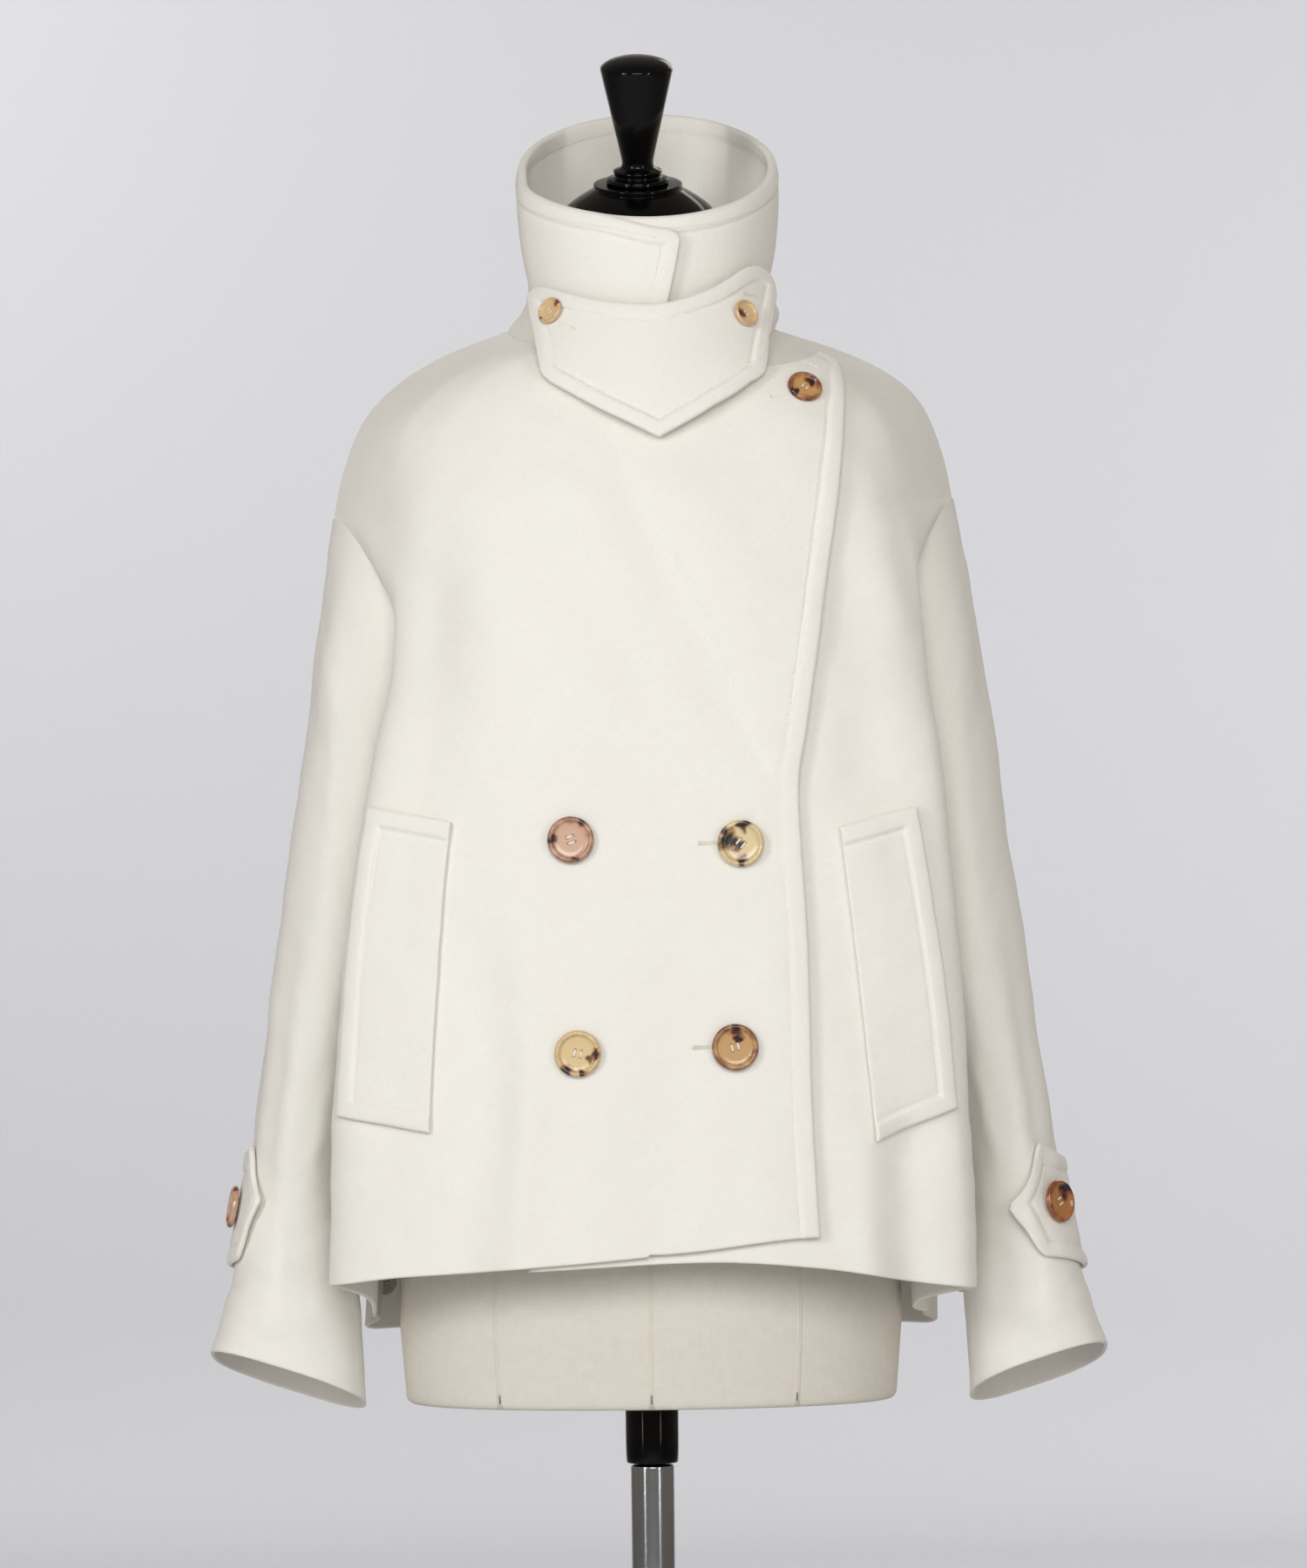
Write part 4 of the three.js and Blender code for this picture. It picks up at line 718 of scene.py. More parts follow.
def over_front():
    """The upper front: columns run from its side seam over the centre to its free edge."""
    edge_w = cubic(np.array([0, 0.3, 0.62, 0.85, 1]), np.array([0, 0.34, 0.63, 0.86, 1]), ROW_LEVELS)
    edge_p, edge_v = locate(look(OVER_EDGE, "w", "x", edge_w), look(OVER_EDGE, "w", "z", edge_w))
    left = -fractions(82, 240)[::-1]
    left = left[left < -0.004]
    bands = np.array([0.25, 0.7, 1.3, 2.2, 3.4, 5, 7, 9, 10.5, 11.5, 12, 12.5, 13, 13.5, 14.5, 16]) / 118
    right = merged([np.linspace(0, 1, 40), 1 - bands])
    v = ROW_LEVELS[:, None]
    p_left = np.broadcast_to(left, (len(ROW_LEVELS), len(left)))
    v_left = row_level(v, hem_level(OVER_HEM, left)[None])
    hem = row_level(v, hem_level(OVER_HEM, np.array([0.05]))[None])
    p_right = edge_p[:, None] * right
    v_right = lerp(hem, edge_v[:, None], smooth(0, 1, right))
    p = np.concatenate([p_left, p_right], 1)
    v = np.concatenate([v_left, v_right], 1)
    base, normal, folds = panel_base(-1, p, v, FRONT_FOLDS, FRONT_SEED)
    height = overlap_step(base[..., 0], p) + folds
    _, _, _, to_edge = edge_distances(base)
    crease = roll_crease(base[..., 0], base[..., 2])
    outer = height + hem_border(to_edge) + crease
    obj, top = cloth(
        "coat_front_over_cloth", base, normal, outer, height - CLOTH + crease, material_of("wool"),
        edges=HUNG
    )
    column = np.argmin(np.abs(to_edge[90] - BORDER))
    threads = stitches("coat_front_over_stitches", [(top[:, column], normal[:, column])])
    return obj, threads


ROLL_LINE = (-21.0, 1288.0, 87.0, 1044.0)


def roll_crease(x, z):
    """The lapel's pressed roll line from the collar to the break: the lapel stands a step above it, with a
    trough before the step; the step is soft at the top and sharp below."""
    x0, z0, x1, z1 = ROLL_LINE
    length = np.hypot(x1 - x0, z1 - z0)
    ux, uz = (x1 - x0) / length, (z1 - z0) / length
    run = ((x - x0) * ux + (z - z0) * uz) / length
    off = (x - x0) * uz - (z - z0) * ux + 3 * np.sin(3.2 * run)
    reach = smooth(-0.02, 0.25, run) * (1 - smooth(0.86, 1.02, run))
    soft = lerp(2.6, 0.8, smooth(0.1, 0.6, run))
    step = 1.9 * smooth(2 * soft, -2.5 * soft, off) * np.exp(np.minimum(off, 0) / 40)
    return reach * (step - 0.8 * np.exp(-(((off - 3 * soft) / (3.5 * soft)) ** 2)))


def under_front():
    """The lower front: columns run from its hidden free edge to its side seam."""
    v = ROW_LEVELS[:, None]
    at = np.array([-0.2])
    heights = body_point(-1, at, np.minimum(0.97, row_level(v, hem_level(UNDER_HEM, at)[None])))[..., 2]
    edge = locate(lerp(UNDER_EDGE_X, -52, smooth(1150, 1330, heights)), heights)[0]
    shown = fractions(88, 240)
    p = np.concatenate(
        [edge * (1 - np.linspace(0, 1, 12)[:-1]), np.broadcast_to(shown, (len(v), len(shown)))], 1
    )
    v = row_level(v, hem_level(UNDER_HEM, p))
    base, normal, folds = panel_base(-1, p, v, FRONT_FOLDS, FRONT_SEED)
    wool = material_of("wool")
    return cloth("coat_front_under_cloth", base, normal, folds, folds - CLOTH, wool, edges=HUNG)[0]


def back_panel():
    """The back, from side seam to side seam, with a centre seam as a shallow groove."""
    half = fractions(66, 240)
    p = np.concatenate([-half[::-1][:-1], half])
    near = np.array([0.004, 0.008, 0.014])
    p = merged([p, near, -near])[None]
    v = ROW_LEVELS[:, None]
    hem_z = lerp(BACK_HEM_Z, SIDE_HEM_Z, smooth(0.75, 1, np.abs(p)))
    v = row_level(v, level_of(1, p, hem_z))
    p = np.broadcast_to(p, v.shape)
    base, normal, folds = panel_base(1, p, v, BACK_FOLDS, BACK_SEED)
    off = np.abs(base[..., 0])
    groove, ridges = -0.9 * np.exp(-((off / 1.3) ** 2)), 0.5 * np.exp(-(((off - 4) / 3) ** 2))
    seam = groove + ridges
    wool = material_of("wool")
    return cloth("coat_back_cloth", base, normal, folds + seam, folds - CLOTH, wool, edges=HUNG)[0]


# ---- sleeves ----
def armhole_place(angle):
    """The armhole seen from the sleeve: which panel is met at an angle, where on the seam, and its level."""
    face = np.where(np.sin(angle) >= 0, -1, 1)
    seam_angle = np.pi - np.abs(np.arctan2(np.sin(angle), np.cos(angle)))
    return face, seam_angle, lerp(V_UNDERARM, V_SLEEVE_TOP, seam_angle / np.pi)


def seam_angle_normal(side, face, v):
    """The panel's direction along the armhole, shared by both panels where they meet."""
    own = body_normal(face, side * 0.999, v)
    edge = np.minimum((v - V_UNDERARM) / 0.03, (V_SLEEVE_TOP - v) / 0.03)
    return unit(lerp(own, seam_normal(side, v), (1 - smooth(0, 1, edge))[..., None]))


def sleeve_start(side, angle):
    """The sleeve's first ring, just outside the body's armhole edge."""
    face, seam_angle, v = armhole_place(angle)
    normal = seam_angle_normal(side, face, v)
    away = -inward(face, side * np.ones(np.shape(v)), v, normal)
    return armhole(side, face, seam_angle) + normal * SEAM - away * SEWN_UNDER


def ring_points(side, angle):
    """All rings at an angle: 0 outside, pi/2 in front, pi inside; sections are |c|^e, |s|^e ovals."""
    rings = SLEEVES[side]
    c, s = np.cos(angle)[..., None], np.sin(angle)[..., None]
    across = np.sign(c) * np.abs(c) ** OVAL
    ahead = np.sign(s) * np.abs(s) ** OVAL
    x = (rings["outX"] + rings["inX"]) / 2 + across * (rings["outX"] - rings["inX"]) / 2
    z = (rings["outZ"] + rings["inZ"]) / 2 + across * (rings["outZ"] - rings["inZ"]) / 2
    z = z + ahead * rings["lift"]
    return stack(side * x, rings["y"] - ahead * rings["depth"], z)


def sleeve_point(side, angle, s):
    """A point of the sleeve: a cubic down its rings."""
    angle, s = np.broadcast_arrays(np.asarray(angle, float), np.asarray(s, float))
    start = sleeve_start(side, angle)
    rings = ring_points(side, angle)
    count = rings.shape[-2]
    knots = np.arange(count + 1) / count
    axes = [[start[..., k]] + [rings[..., i, k] for i in range(count)] for k in range(3)]
    return stack(*(cubic(knots, values, s) for values in axes))


def sleeve_normal(side, angle, s):
    """The sleeve's outward direction, from small steps round and down."""
    step = 0.01
    around = sleeve_point(side, angle + step, s) - sleeve_point(side, angle - step, s)
    above, below = np.maximum(0, s - step), np.minimum(1, s + step)
    down = sleeve_point(side, angle, below) - sleeve_point(side, angle, above)
    return unit(np.cross(around, down) * side)


def sleeve(side):
    """A sleeve as a closed tube wall, open at the armhole and at the cuff."""
    around = 112
    angle = np.arange(around) * 2 * np.pi / around
    s = fractions(150, 600)[:, None]
    angle, s = np.broadcast_arrays(angle, s)
    point = sleeve_point(side, angle, s)
    normal = sleeve_normal(side, angle, np.maximum(s, 0.004))
    face, _, v = armhole_place(angle[:1])
    panel_normal = seam_angle_normal(side, face, v)
    own = normal[:1]
    share = np.where(face > 0, 1, 0.25) * smooth(-0.2, 0.5, np.sum(own * panel_normal, -1))
    first = unit(lerp(own, panel_normal, share[..., None]))
    normal = unit(lerp(first, normal, smooth(0, 0.02, s)[..., None]))
    height = sleeve_fold(side, angle, s) * smooth(0, 0.06, s)
    for seam in SLEEVE_SEAMS:
        off = 55 * (np.mod(angle - seam + np.pi, 2 * np.pi) - np.pi)
        height = height - 0.5 * np.exp(-((off / 1.6) ** 2))
    closing = np.concatenate([point, point[:, :1]], 1)
    uv = np.stack([run_length(closing, 1), run_length(closing, 0)], -1)[:, :-1]
    name = "coat_sleeve_" + ("right" if side > 0 else "left")
    wool, open_below = material_of("wool"), (False, True, True, True)
    return cloth(name + "_cloth", point, normal, height, height - CLOTH, wool, True, open_below, uv)[0]


def strap_middle(side, angle):
    """Where the strap's middle lies along the sleeve: lower behind than at its front tip."""
    _, middle, tilt = STRAP_TIPS[side]
    return middle + tilt * (1 - smooth(0, 1.5, angle))


# Millimetres near the cuff for one unit along the sleeve, and for one radian round it.
CUFF_ALONG, CUFF_ROUND = 350, 46


def strap(side):
    """A cuff strap round the back of the sleeve, pointed at both ends, with a raised, topstitched border.

    The distance to its outline is that to a hexagon: min(H - |w|, (H u - T |w|) / sqrt(H^2 + T^2))."""
    start = STRAP_TIPS[side][0]
    turn = (start - fractions(190, 250) * (start - STRAP_END))[:, None]
    across = merged([np.linspace(-1, 1, 45), [-0.985, -0.96, 0.96, 0.985]], 4)
    from_tip = np.minimum(start - turn, turn - STRAP_END)
    way = from_tip / STRAP_TIP
    way = np.where(way > 1.25, 1, np.where(way < 0.75, way, way - (way - 0.75) ** 2))
    share = np.minimum(1, 0.06 + 0.94 * way)
    half = STRAP_HALF * share
    s = strap_middle(side, turn) + across * half
    angle = turn + across * STRAP_SKEW * share * smooth(start - STRAP_SKEW_TURN, start - STRAP_TIP, turn)
    point = sleeve_point(side, angle, s)
    normal = sleeve_normal(side, angle, s)
    lift = STRAP_LIFT * smooth(start - STRAP_LIFT_TURN, start, angle)
    low = sleeve_fold(side, angle, s) + STRAP_LOOSE + lift
    tall, long = STRAP_HALF * CUFF_ALONG, STRAP_TIP * CUFF_ROUND
    w, u = np.abs(across * half) * CUFF_ALONG, from_tip * CUFF_ROUND
    near = np.clip(np.minimum(tall - w, (tall * u - long * w) / np.hypot(tall, long)), 0, None)
    name = "coat_strap_" + ("right" if side > 0 else "left")
    outer = low + CLOTH + hem_border(near, STRAP_BORDER, 1.1)
    obj, top = cloth(name + "_cloth", point, normal, outer, low, material_of("wool"))
    column = np.argmin(np.abs(tall - w[95] - STRAP_BORDER))
    inside = slice(20, -20)
    rows = [(top[inside, k], normal[inside, k]) for k in (column, len(across) - 1 - column)]
    return obj, stitches(name + "_stitches", rows)


# ---- collar ----
def neck_place(turn):
    """Which face and which p of the neck seam a turn meets: 0 at the front centre, growing towards +X."""
    q = np.mod(turn / (np.pi / 2), 4)
    face = np.where((q <= 1) | (q > 3), -1, 1)
    p = np.where(q <= 1, q, np.where(q <= 3, 2 - q, q - 4))
    return face, p


def collar_point(turn, t):
    """A point of the collar: a cubic up its rings from the neck seam to the rim."""
    face, p = neck_place(turn)
    neck = body_point(face, p, np.ones(np.shape(p)))
    centre = stack(COLLAR_X, -5.0, neck[..., 2])
    start = neck + unit(centre - neck) * SEAM - np.array([0, 0, SEWN_UNDER])
    c, s = np.cos(turn), np.sin(turn)
    rings = COLLAR_RINGS
    zs = [start[..., 2]]
    for front, back, rim in zip(rings["front"], rings["back"], rings["side"]):
        zs.append(lerp(front, back, (1 - c) / 2) + (rim - (front + back) / 2) * s**2)
    xs = [start[..., 0]] + [COLLAR_X + half * s for half in rings["halfX"]]
    ys = [start[..., 1]] + [y - half * c for y, half in zip(rings["y"], rings["halfY"])]
    knots = np.concatenate([[0], rings["t"]])
    droop = COLLAR_DROOP * t**2 * smooth(COLLAR_END - DROOP_TURN, COLLAR_END, turn)
    return stack(cubic(knots, xs, t), cubic(knots, ys, t), cubic(knots, zs, t) - droop)


def collar():
    """The stand collar: one band wound a little more than once round the neck, its rim topstitched."""
    turn = lerp(
        COLLAR_START, COLLAR_END, fractions(210, 590, (0.3, 0.8, 1.5, 2.4, 4, 7, 10, 11.5, 12.5, 13.5, 15))
    )
    t = merged([fractions(34, 95), 1 - np.array([4, 7, 10, 11.5, 12.5, 13.5, 15]) / 95], 6)
    end_way = (COLLAR_END - turn[:, None]) * COLLAR_RADIUS
    t = t[None] * (1 - corner_inset(end_way, 10) / 95)
    turn = turn[:, None]
    turn = turn - COLLAR_SLANT * (1 - t) * (turn - COLLAR_START) / (COLLAR_END - COLLAR_START)
    face, p = neck_place(turn)
    neck = body_point(face, p, np.ones(p.shape))
    lap = np.where(turn > 1.5 * np.pi, overlap_step(neck[..., 0], (turn - 2 * np.pi) / (np.pi / 2)), 0)
    flat = stack(np.sin(turn), -np.cos(turn), 0 * turn)
    own = body_normal(face, p, np.ones(p.shape))
    lifted = lerp(own, flat, smooth(0, 0.12, t)[..., None])
    foot = 1.8 * smooth(0, 0.035, t) * np.exp(-(((t - 0.04) / 0.1) ** 2))
    point = collar_point(turn, t) + lifted * lap[..., None] + flat * foot[..., None]
    _, to_end, _, to_rim = edge_distances(point)
    soft = 0.8 * waves(120 * np.sin(turn), 120 * np.cos(turn) + 95 * t, 110, 41) * smooth(0, 0.3, t)
    border = hem_border(np.minimum(to_rim, np.where(turn > 4, to_end, 1e9)))
    inside = -COLLAR_WALL + soft - 0.6 * hem_border(to_rim)
    sewn_below = (True, True, False, True)
    obj, top = cloth(
        "coat_collar_cloth", point, flat, border + soft, inside, material_of("wool"), edges=sewn_below
    )
    near_rim = np.argmin(np.abs(to_rim[100] - BORDER))
    near_end = np.argmin(np.abs(to_end[:, 20] - BORDER))
    low = point + flat * inside[..., None]
    rows = [
        (top[:near_end, near_rim], flat[:near_end, near_rim]),
        (top[near_end, 3:near_rim], flat[near_end, 3:near_rim]),
        (low[20:-6, near_rim], -flat[20:-6, near_rim]),
    ]
    return obj, stitches("coat_collar_stitches", rows)


# ---- chin flap ----
FLAP_BORDER = 10.5


def flap_point(x, z):
    """The flap's outer surface: a cone with oval level sections y = -4 - b sqrt(1 - ((x - cx) / a)^2)."""
    a, b = look(FLAP_CONE, "z", "a", z), look(FLAP_CONE, "z", "b", z)
    w = np.minimum(0.985, np.abs((x - COLLAR_X) / a))
    return stack(x, -4 - b * np.sqrt(1 - w * w), z)


def flap_normal(x, z):
    """The flap's outward direction, from small steps across and up."""
    step = 0.5
    return unit(np.cross(
        flap_point(x + step, z) - flap_point(x - step, z), flap_point(x, z + step) - flap_point(x, z - step)
    ))


def corner_inset(distance, radius):
    """How far a rounded corner of that radius cuts in at a distance from the side."""
    w = np.clip(1 - distance / radius, 0, 1)
    return radius * (1 - np.sqrt(1 - w * w))


def flap_place(x, z):
    """A place of the flap and its outward direction there."""
    at = (np.array([float(x)]), np.array([float(z)]))
    return flap_point(*at)[0], flap_normal(*at)[0]


def chin_flap():
    """The throat flap: a five-cornered piece with round corners, topstitched all round.

    The border follows the distance of each point to the nearest point of the outline."""
    w = fractions(110, 152, (0.3, 0.8, 1.6, 2.6, 4, 6, 8, 10))
    t = fractions(56, 85, (0.3, 0.8, 1.6, 2.6, 4, 6, 8, 10, 11.3, 12.5, 13.7))
    knots = np.arange(6) / 5
    top_x, top_z = cubic(knots, FLAP_TOP["x"], w), cubic(knots, FLAP_TOP["z"], w)
    low_x, low_z = cubic(knots, FLAP_LOW["x"], w), np.interp(w, knots, FLAP_LOW["z"])
    tall = np.hypot(top_x - low_x, top_z - low_z)
    side_way = np.minimum(w, 1 - w) * 152
    low_inset, top_inset = (np.minimum(corner_inset(side_way, r) / tall, 0.4) for r in (5, 13))
    share = lerp(low_inset[:, None], 1 - top_inset[:, None], t[None])
    x = lerp(low_x[:, None], top_x[:, None], share)
    z = lerp(low_z[:, None], top_z[:, None], share)
    point, normal = flap_point(x, z), flap_normal(x, z)
    outline = np.concatenate([point[:, 0], point[:, -1], point[0], point[-1]])
    near = np.linalg.norm(point[:, :, None] - outline, axis=-1).min(-1)
    soft = 0.5 * waves(x, z, 70, 51)
    top = hem_border(near, FLAP_BORDER) + soft
    obj, face = cloth("coat_chin_flap_cloth", point, normal, top, soft - CLOTH, material_of("wool"))
    first, last = (np.argmin(np.abs(side_way - FLAP_BORDER) + side * (w - 0.5)) for side in (9, -9))
    across = np.arange(first, last + 1)
    rise = np.diff(low_z)[across] / np.diff(low_x)[across]
    low_k = np.argmin(np.abs(t * tall[across, None] - FLAP_BORDER * np.sqrt(1 + rise**2)[:, None]), 1)
    high_k = np.argmin(np.abs((1 - t) * tall[across, None] - FLAP_BORDER), 1)
    rows = [(face[across, low_k], normal[across, low_k]), (face[across, high_k], normal[across, high_k])]
    rows += [
        (face[k, low_k[i]:high_k[i]], normal[k, low_k[i]:high_k[i]]) for k, i in ((first, 0), (last, -1))
    ]
    return obj, stitches("coat_chin_flap_stitches", rows)


# ---- pockets ----
def pocket(side):
    """A slanted pocket welt over the front, its top, bottom and outer edge topstitched."""
    (itx, itz), (ibx, ibz), (otx, otz), (obx, obz) = POCKETS[side]
    corner_p, corner_v = locate(np.array([itx, ibx, otx, obx]), np.array([itz, ibz, otz, obz]))
    bands = np.array([0.3, 0.8, 1.6, 2.6, 4, 6, 8, 10, 11.3, 12.5, 13.7, 15])
    t = merged([np.linspace(0, 1, 84), bands / 208, 1 - bands / 208], 6)[:, None]
    w = merged([np.linspace(0, 1, 26), 1 - bands / 60, bands[:4] / 60], 6)[None]
    p = lerp(lerp(corner_p[1], corner_p[0], t), lerp(corner_p[3], corner_p[2], t), w)
    v = lerp(lerp(corner_v[1], corner_v[0], t), lerp(corner_v[3], corner_v[2], t), w)
    base, normal = body_point(-1, p, v), body_normal(-1, p, v)
    low = front_height(base[..., 0], base[..., 2], side < 0) + LOOSE
    bottom, top, _, outer_side = edge_distances(base)
    near = np.minimum(np.minimum(bottom, top), outer_side)
    swell = 0.5 * np.exp(-((w - 0.45) ** 2) / 0.1)
    name = "coat_pocket_" + ("right" if side > 0 else "left")
    obj, face = cloth(
        name + "_cloth", base, normal, low + CLOTH + swell + hem_border(near), low, material_of("wool")
    )
    k_low, k_high = np.argmin(np.abs(bottom[:, 10] - BORDER)), np.argmin(np.abs(top[:, 10] - BORDER))
    k_out = np.argmin(np.abs(outer_side[40] - BORDER))
    rows = [
        (face[k_low, 2:k_out], normal[k_low, 2:k_out]),
        (face[k_high, 2:k_out], normal[k_high, 2:k_out]),
        (face[k_low:k_high, k_out], normal[k_low:k_high, k_out]),
    ]
    return obj, stitches(name + "_stitches", rows)


# ---- buttons ----
BUTTON_TOP = table(
    "r h",
    [
        (0, 0.5), (0.5, 0.5), (0.7, 0.54), (0.76, 0.66), (0.8, 0.88), (0.85, 1.0), (0.92, 0.97),
        (0.97, 0.8), (1.0, 0.55),
    ],
)
BUTTON_RINGS = np.array([
    0.03, 0.06, 0.09, 0.115, 0.14, 0.165, 0.19, 0.215, 0.24, 0.265, 0.29, 0.315, 0.34, 0.38, 0.45, 0.52,
    0.6, 0.66, 0.7, 0.74, 0.78, 0.82, 0.86, 0.9, 0.94, 0.97, 0.99, 1.0,
])
HOLE_AT, HOLE_RADIUS = 0.18, 0.06
# A buttonhole's stitches, in millimetres, and how far their middles lie from the slit.
WORKED_LENGTH, WORKED_RADIUS, WORKED_PITCH, SLIT_HALF = 1.3, 0.24, 0.62, 0.75


def pole_fans(count, sides):
    """Triangles that close a stack of rings with count points: its two poles are the next two points."""
    c = np.arange(sides)
    nxt = (c + 1) % sides
    last = count - sides
    first_fan = np.stack([0 * c + count, nxt, c], -1)
    return np.concatenate([first_fan, np.stack([0 * c + count + 1, last + c, last + nxt], -1)])


def revolved(radii, heights, sides):
    """A closed turned shape about z: a pole, rings of the given radii and heights, and a second pole."""
    turn = np.arange(sides) * 2 * np.pi / sides
    rings = stack(radii[:, None] * np.cos(turn), radii[:, None] * np.sin(turn), heights[:, None])
    count = rings.shape[0] * sides
    poles = np.array([[0, 0, heights[0]], [0, 0, heights[-1]]])
    points = np.concatenate([rings.reshape(-1, 3), poles])
    return points, grid_faces(len(radii), sides, True), pole_fans(count, sides)


def button_shape(radius, height):
    """A dished disc with a round rim and four holes: the holes are round pits in the dish."""
    top = cubic(BUTTON_TOP["r"], BUTTON_TOP["h"], BUTTON_RINGS)
    radii = np.concatenate([BUTTON_RINGS, [1.0, 0.97, 0.9, 0.8, 0.4, 0.03]]) * radius
    heights = np.concatenate([top, [0.42, 0.2, 0.05, 0, 0, 0]]) * height
    points, quads, tris = revolved(radii, heights, 56)
    upper = (points[:, 2] > 0.3 * height) & (np.hypot(points[:, 0], points[:, 1]) < 0.5 * radius)
    off = np.hypot(
        np.abs(points[:, 0]) - HOLE_AT * radius * 0.75, np.abs(points[:, 1]) - HOLE_AT * radius * 0.75
    )
    pit = 1 - smooth(0.75, 1.2, off / (HOLE_RADIUS * radius))
    points[:, 2] -= np.where(upper, 0.4 * height * pit, 0)
    return points, quads, tris


def button_thread(radius, height):
    """Two bundles of thread that cross the button's holes."""
    hole = HOLE_AT * radius * 0.75
    shape, faces = capsule(2.5 * hole, 0.022 * radius)
    rows = np.array([-1, 1])[:, None] * hole + np.array([-0.022, 0.022]) * radius
    origins = stack(0 * rows.ravel(), rows.ravel(), 0.5 * height + 0.012 * radius)
    ahead = np.broadcast_to([1.0, 0, 0], origins.shape)
    return placed(shape, faces, origins, ahead, np.broadcast_to([0, 0, 1.0], origins.shape))


def seat(points, place, normal, turn):
    """Points of a button carried onto the cloth: its axis along the normal, turned about it."""
    normal = unit(np.asarray(normal, float))
    side = unit(np.cross([0, 0, 1.0], normal))
    up = np.cross(normal, side)
    c, s = np.cos(turn), np.sin(turn)
    axes = np.stack([c * side + s * up, -s * side + c * up, normal])
    return place + points @ axes


def button(node, place, normal, size, material, turn=0.3, slot="horn"):
    """A sewn button that stands for its solid, with its thread."""
    points, quads, tris = button_shape(*size)
    c, s = np.cos(turn), np.sin(turn)
    uv = points[:, :2] @ np.array([[c, s], [-s, c]]) / size[0]
    body = new_object(node + "_disc", seat(points, place, normal, turn), quads, material, uv / MM, tris)
    finish_piece(body, (node,), slot)
    thread, faces = button_thread(*size)
    sewn(node + "_thread", seat(thread, place, normal, turn), faces)


def buttonhole(name, place, normal, ahead, length):
    """A worked buttonhole: threads laid side by side round a slit, each a short capsule."""
    shape, faces = capsule(WORKED_LENGTH, WORKED_RADIUS)
    normal = unit(np.asarray(normal, float))
    ahead = unit(np.asarray(ahead, float) - normal * np.dot(ahead, normal))
    across = np.cross(normal, ahead)
    along_ = np.arange(-length / 2, length / 2, WORKED_PITCH)
    origins, ways = [], []
    for side in (-1, 1):
        origins.append(place + along_[:, None] * ahead + side * SLIT_HALF * across + 0.05 * normal)
        ways.append(np.broadcast_to(across, (len(along_), 3)))
    fan = np.linspace(-np.pi / 2, np.pi / 2, 7)
    for end in (-1, 1):
        spoke = end * np.cos(fan)[:, None] * ahead + np.sin(fan)[:, None] * across
        origins.append(place + end * length / 2 * ahead + SLIT_HALF * spoke + 0.05 * normal)
        ways.append(spoke)
    origins = np.concatenate(origins)
    points, quads = placed(
        shape, faces, origins, np.concatenate(ways), np.broadcast_to(normal, origins.shape)
    )
    sewn(name, points, quads)


def front_place(x, z):
    """A place on the upper front and the direction there."""
    at = (np.array([float(x)]), np.array([float(z)]))
    p, v = locate(*at)
    normal = body_normal(-1, p, v)
    point = body_point(-1, p, v) + normal * front_height(*at, True)[:, None]
    return point[0], normal[0]


# ---- form and stand ----
FORM = table(
    "z x front back point",
    [
        (650, 161, -104, 100, 0.9),
        (700, 165, -110, 105, 0.9),
        (770, 165, -112, 108, 0.9),
        (850, 150, -106, 100, 0.9),
        (920, 129, -98, 86, 0.9),
        (980, 118, -96, 78, 0.9),
        (1040, 121, -104, 78, 0.9),
        (1100, 128, -120, 84, 0.9),
        (1150, 138, -124, 90, 0.9),
        (1200, 148, -112, 92, 0.9),
        (1250, 162, -92, 86, 0.9),
        (1285, 165, -76, 76, 0.9),
        (1310, 155, -68, 72, 1.15),
        (1328, 134, -62, 66, 1.5),
        (1337.5, 124, -59, 66, 1.7),
        (1344, 110, -57, 66, 1.8),
        (1349.5, 94, -55, 66, 1.8),
        (1354.8, 75, -56, 62, 1.7),
        (1368, 60, -58, 52, 0.9),
        (1400, 52, -60, 44, 0.9),
        (1428, 51, -62, 40, 0.9),
    ],
)
FORM_NECK_Z, FORM_NECK_RISE, FORM_NECK_TILT = 1390, 38, -0.33


def form_point(z, angle):
    """The form's surface: level sections |c|^e, |s|^e; near the neck the section tilts forwards."""
    e = np.interp(z, FORM["z"], FORM["point"])
    c, s = np.cos(angle), np.sin(angle)
    across, ahead = np.sign(c) * np.abs(c) ** e, np.sign(s) * np.abs(s) ** e
    front, back = (np.interp(z, FORM["z"], FORM[k]) for k in ("front", "back"))
    depth = (back - front) / 2
    tilt = np.where(z > FORM_NECK_Z, FORM_NECK_TILT * (z - FORM_NECK_Z) / FORM_NECK_RISE, 0)
    x = across * np.interp(z, FORM["z"], FORM["x"])
    return stack(x, (front + back) / 2 + ahead * depth, z - tilt * ahead * depth)


def form_torso():
    """The padded form: a closed stack of sections, rounded in at its lower edge."""
    sides = 128
    angle = np.arange(sides) * 2 * np.pi / sides
    low, high = FORM["z"][0], FORM["z"][-1]
    z = np.concatenate(
        [[low] * 3, low + np.array([0.3, 1.2, 2.6, 4.5]), np.linspace(low + 8, high, 110), [high]]
    )
    share = np.concatenate([[0.5, 0.95, 0.972], [0.982, 0.991, 0.997, 1], np.ones(110), [0.6]])
    rings = form_point(z[:, None], angle[None])
    middle = rings.mean(1, keepdims=True)
    rings = middle + (rings - middle) * share[:, None, None]
    poles = np.stack([rings[0].mean(0), rings[-1].mean(0)])
    rows = len(z)
    points = np.concatenate([rings.reshape(-1, 3), poles])
    quads, tris = grid_faces(rows, sides, True), pole_fans(rows * sides, sides)
    obj = new_object("form_torso_cover", points, quads, material_of("linen"), tris=tris)
    return finish_piece(obj, ("form_torso",), "linen")


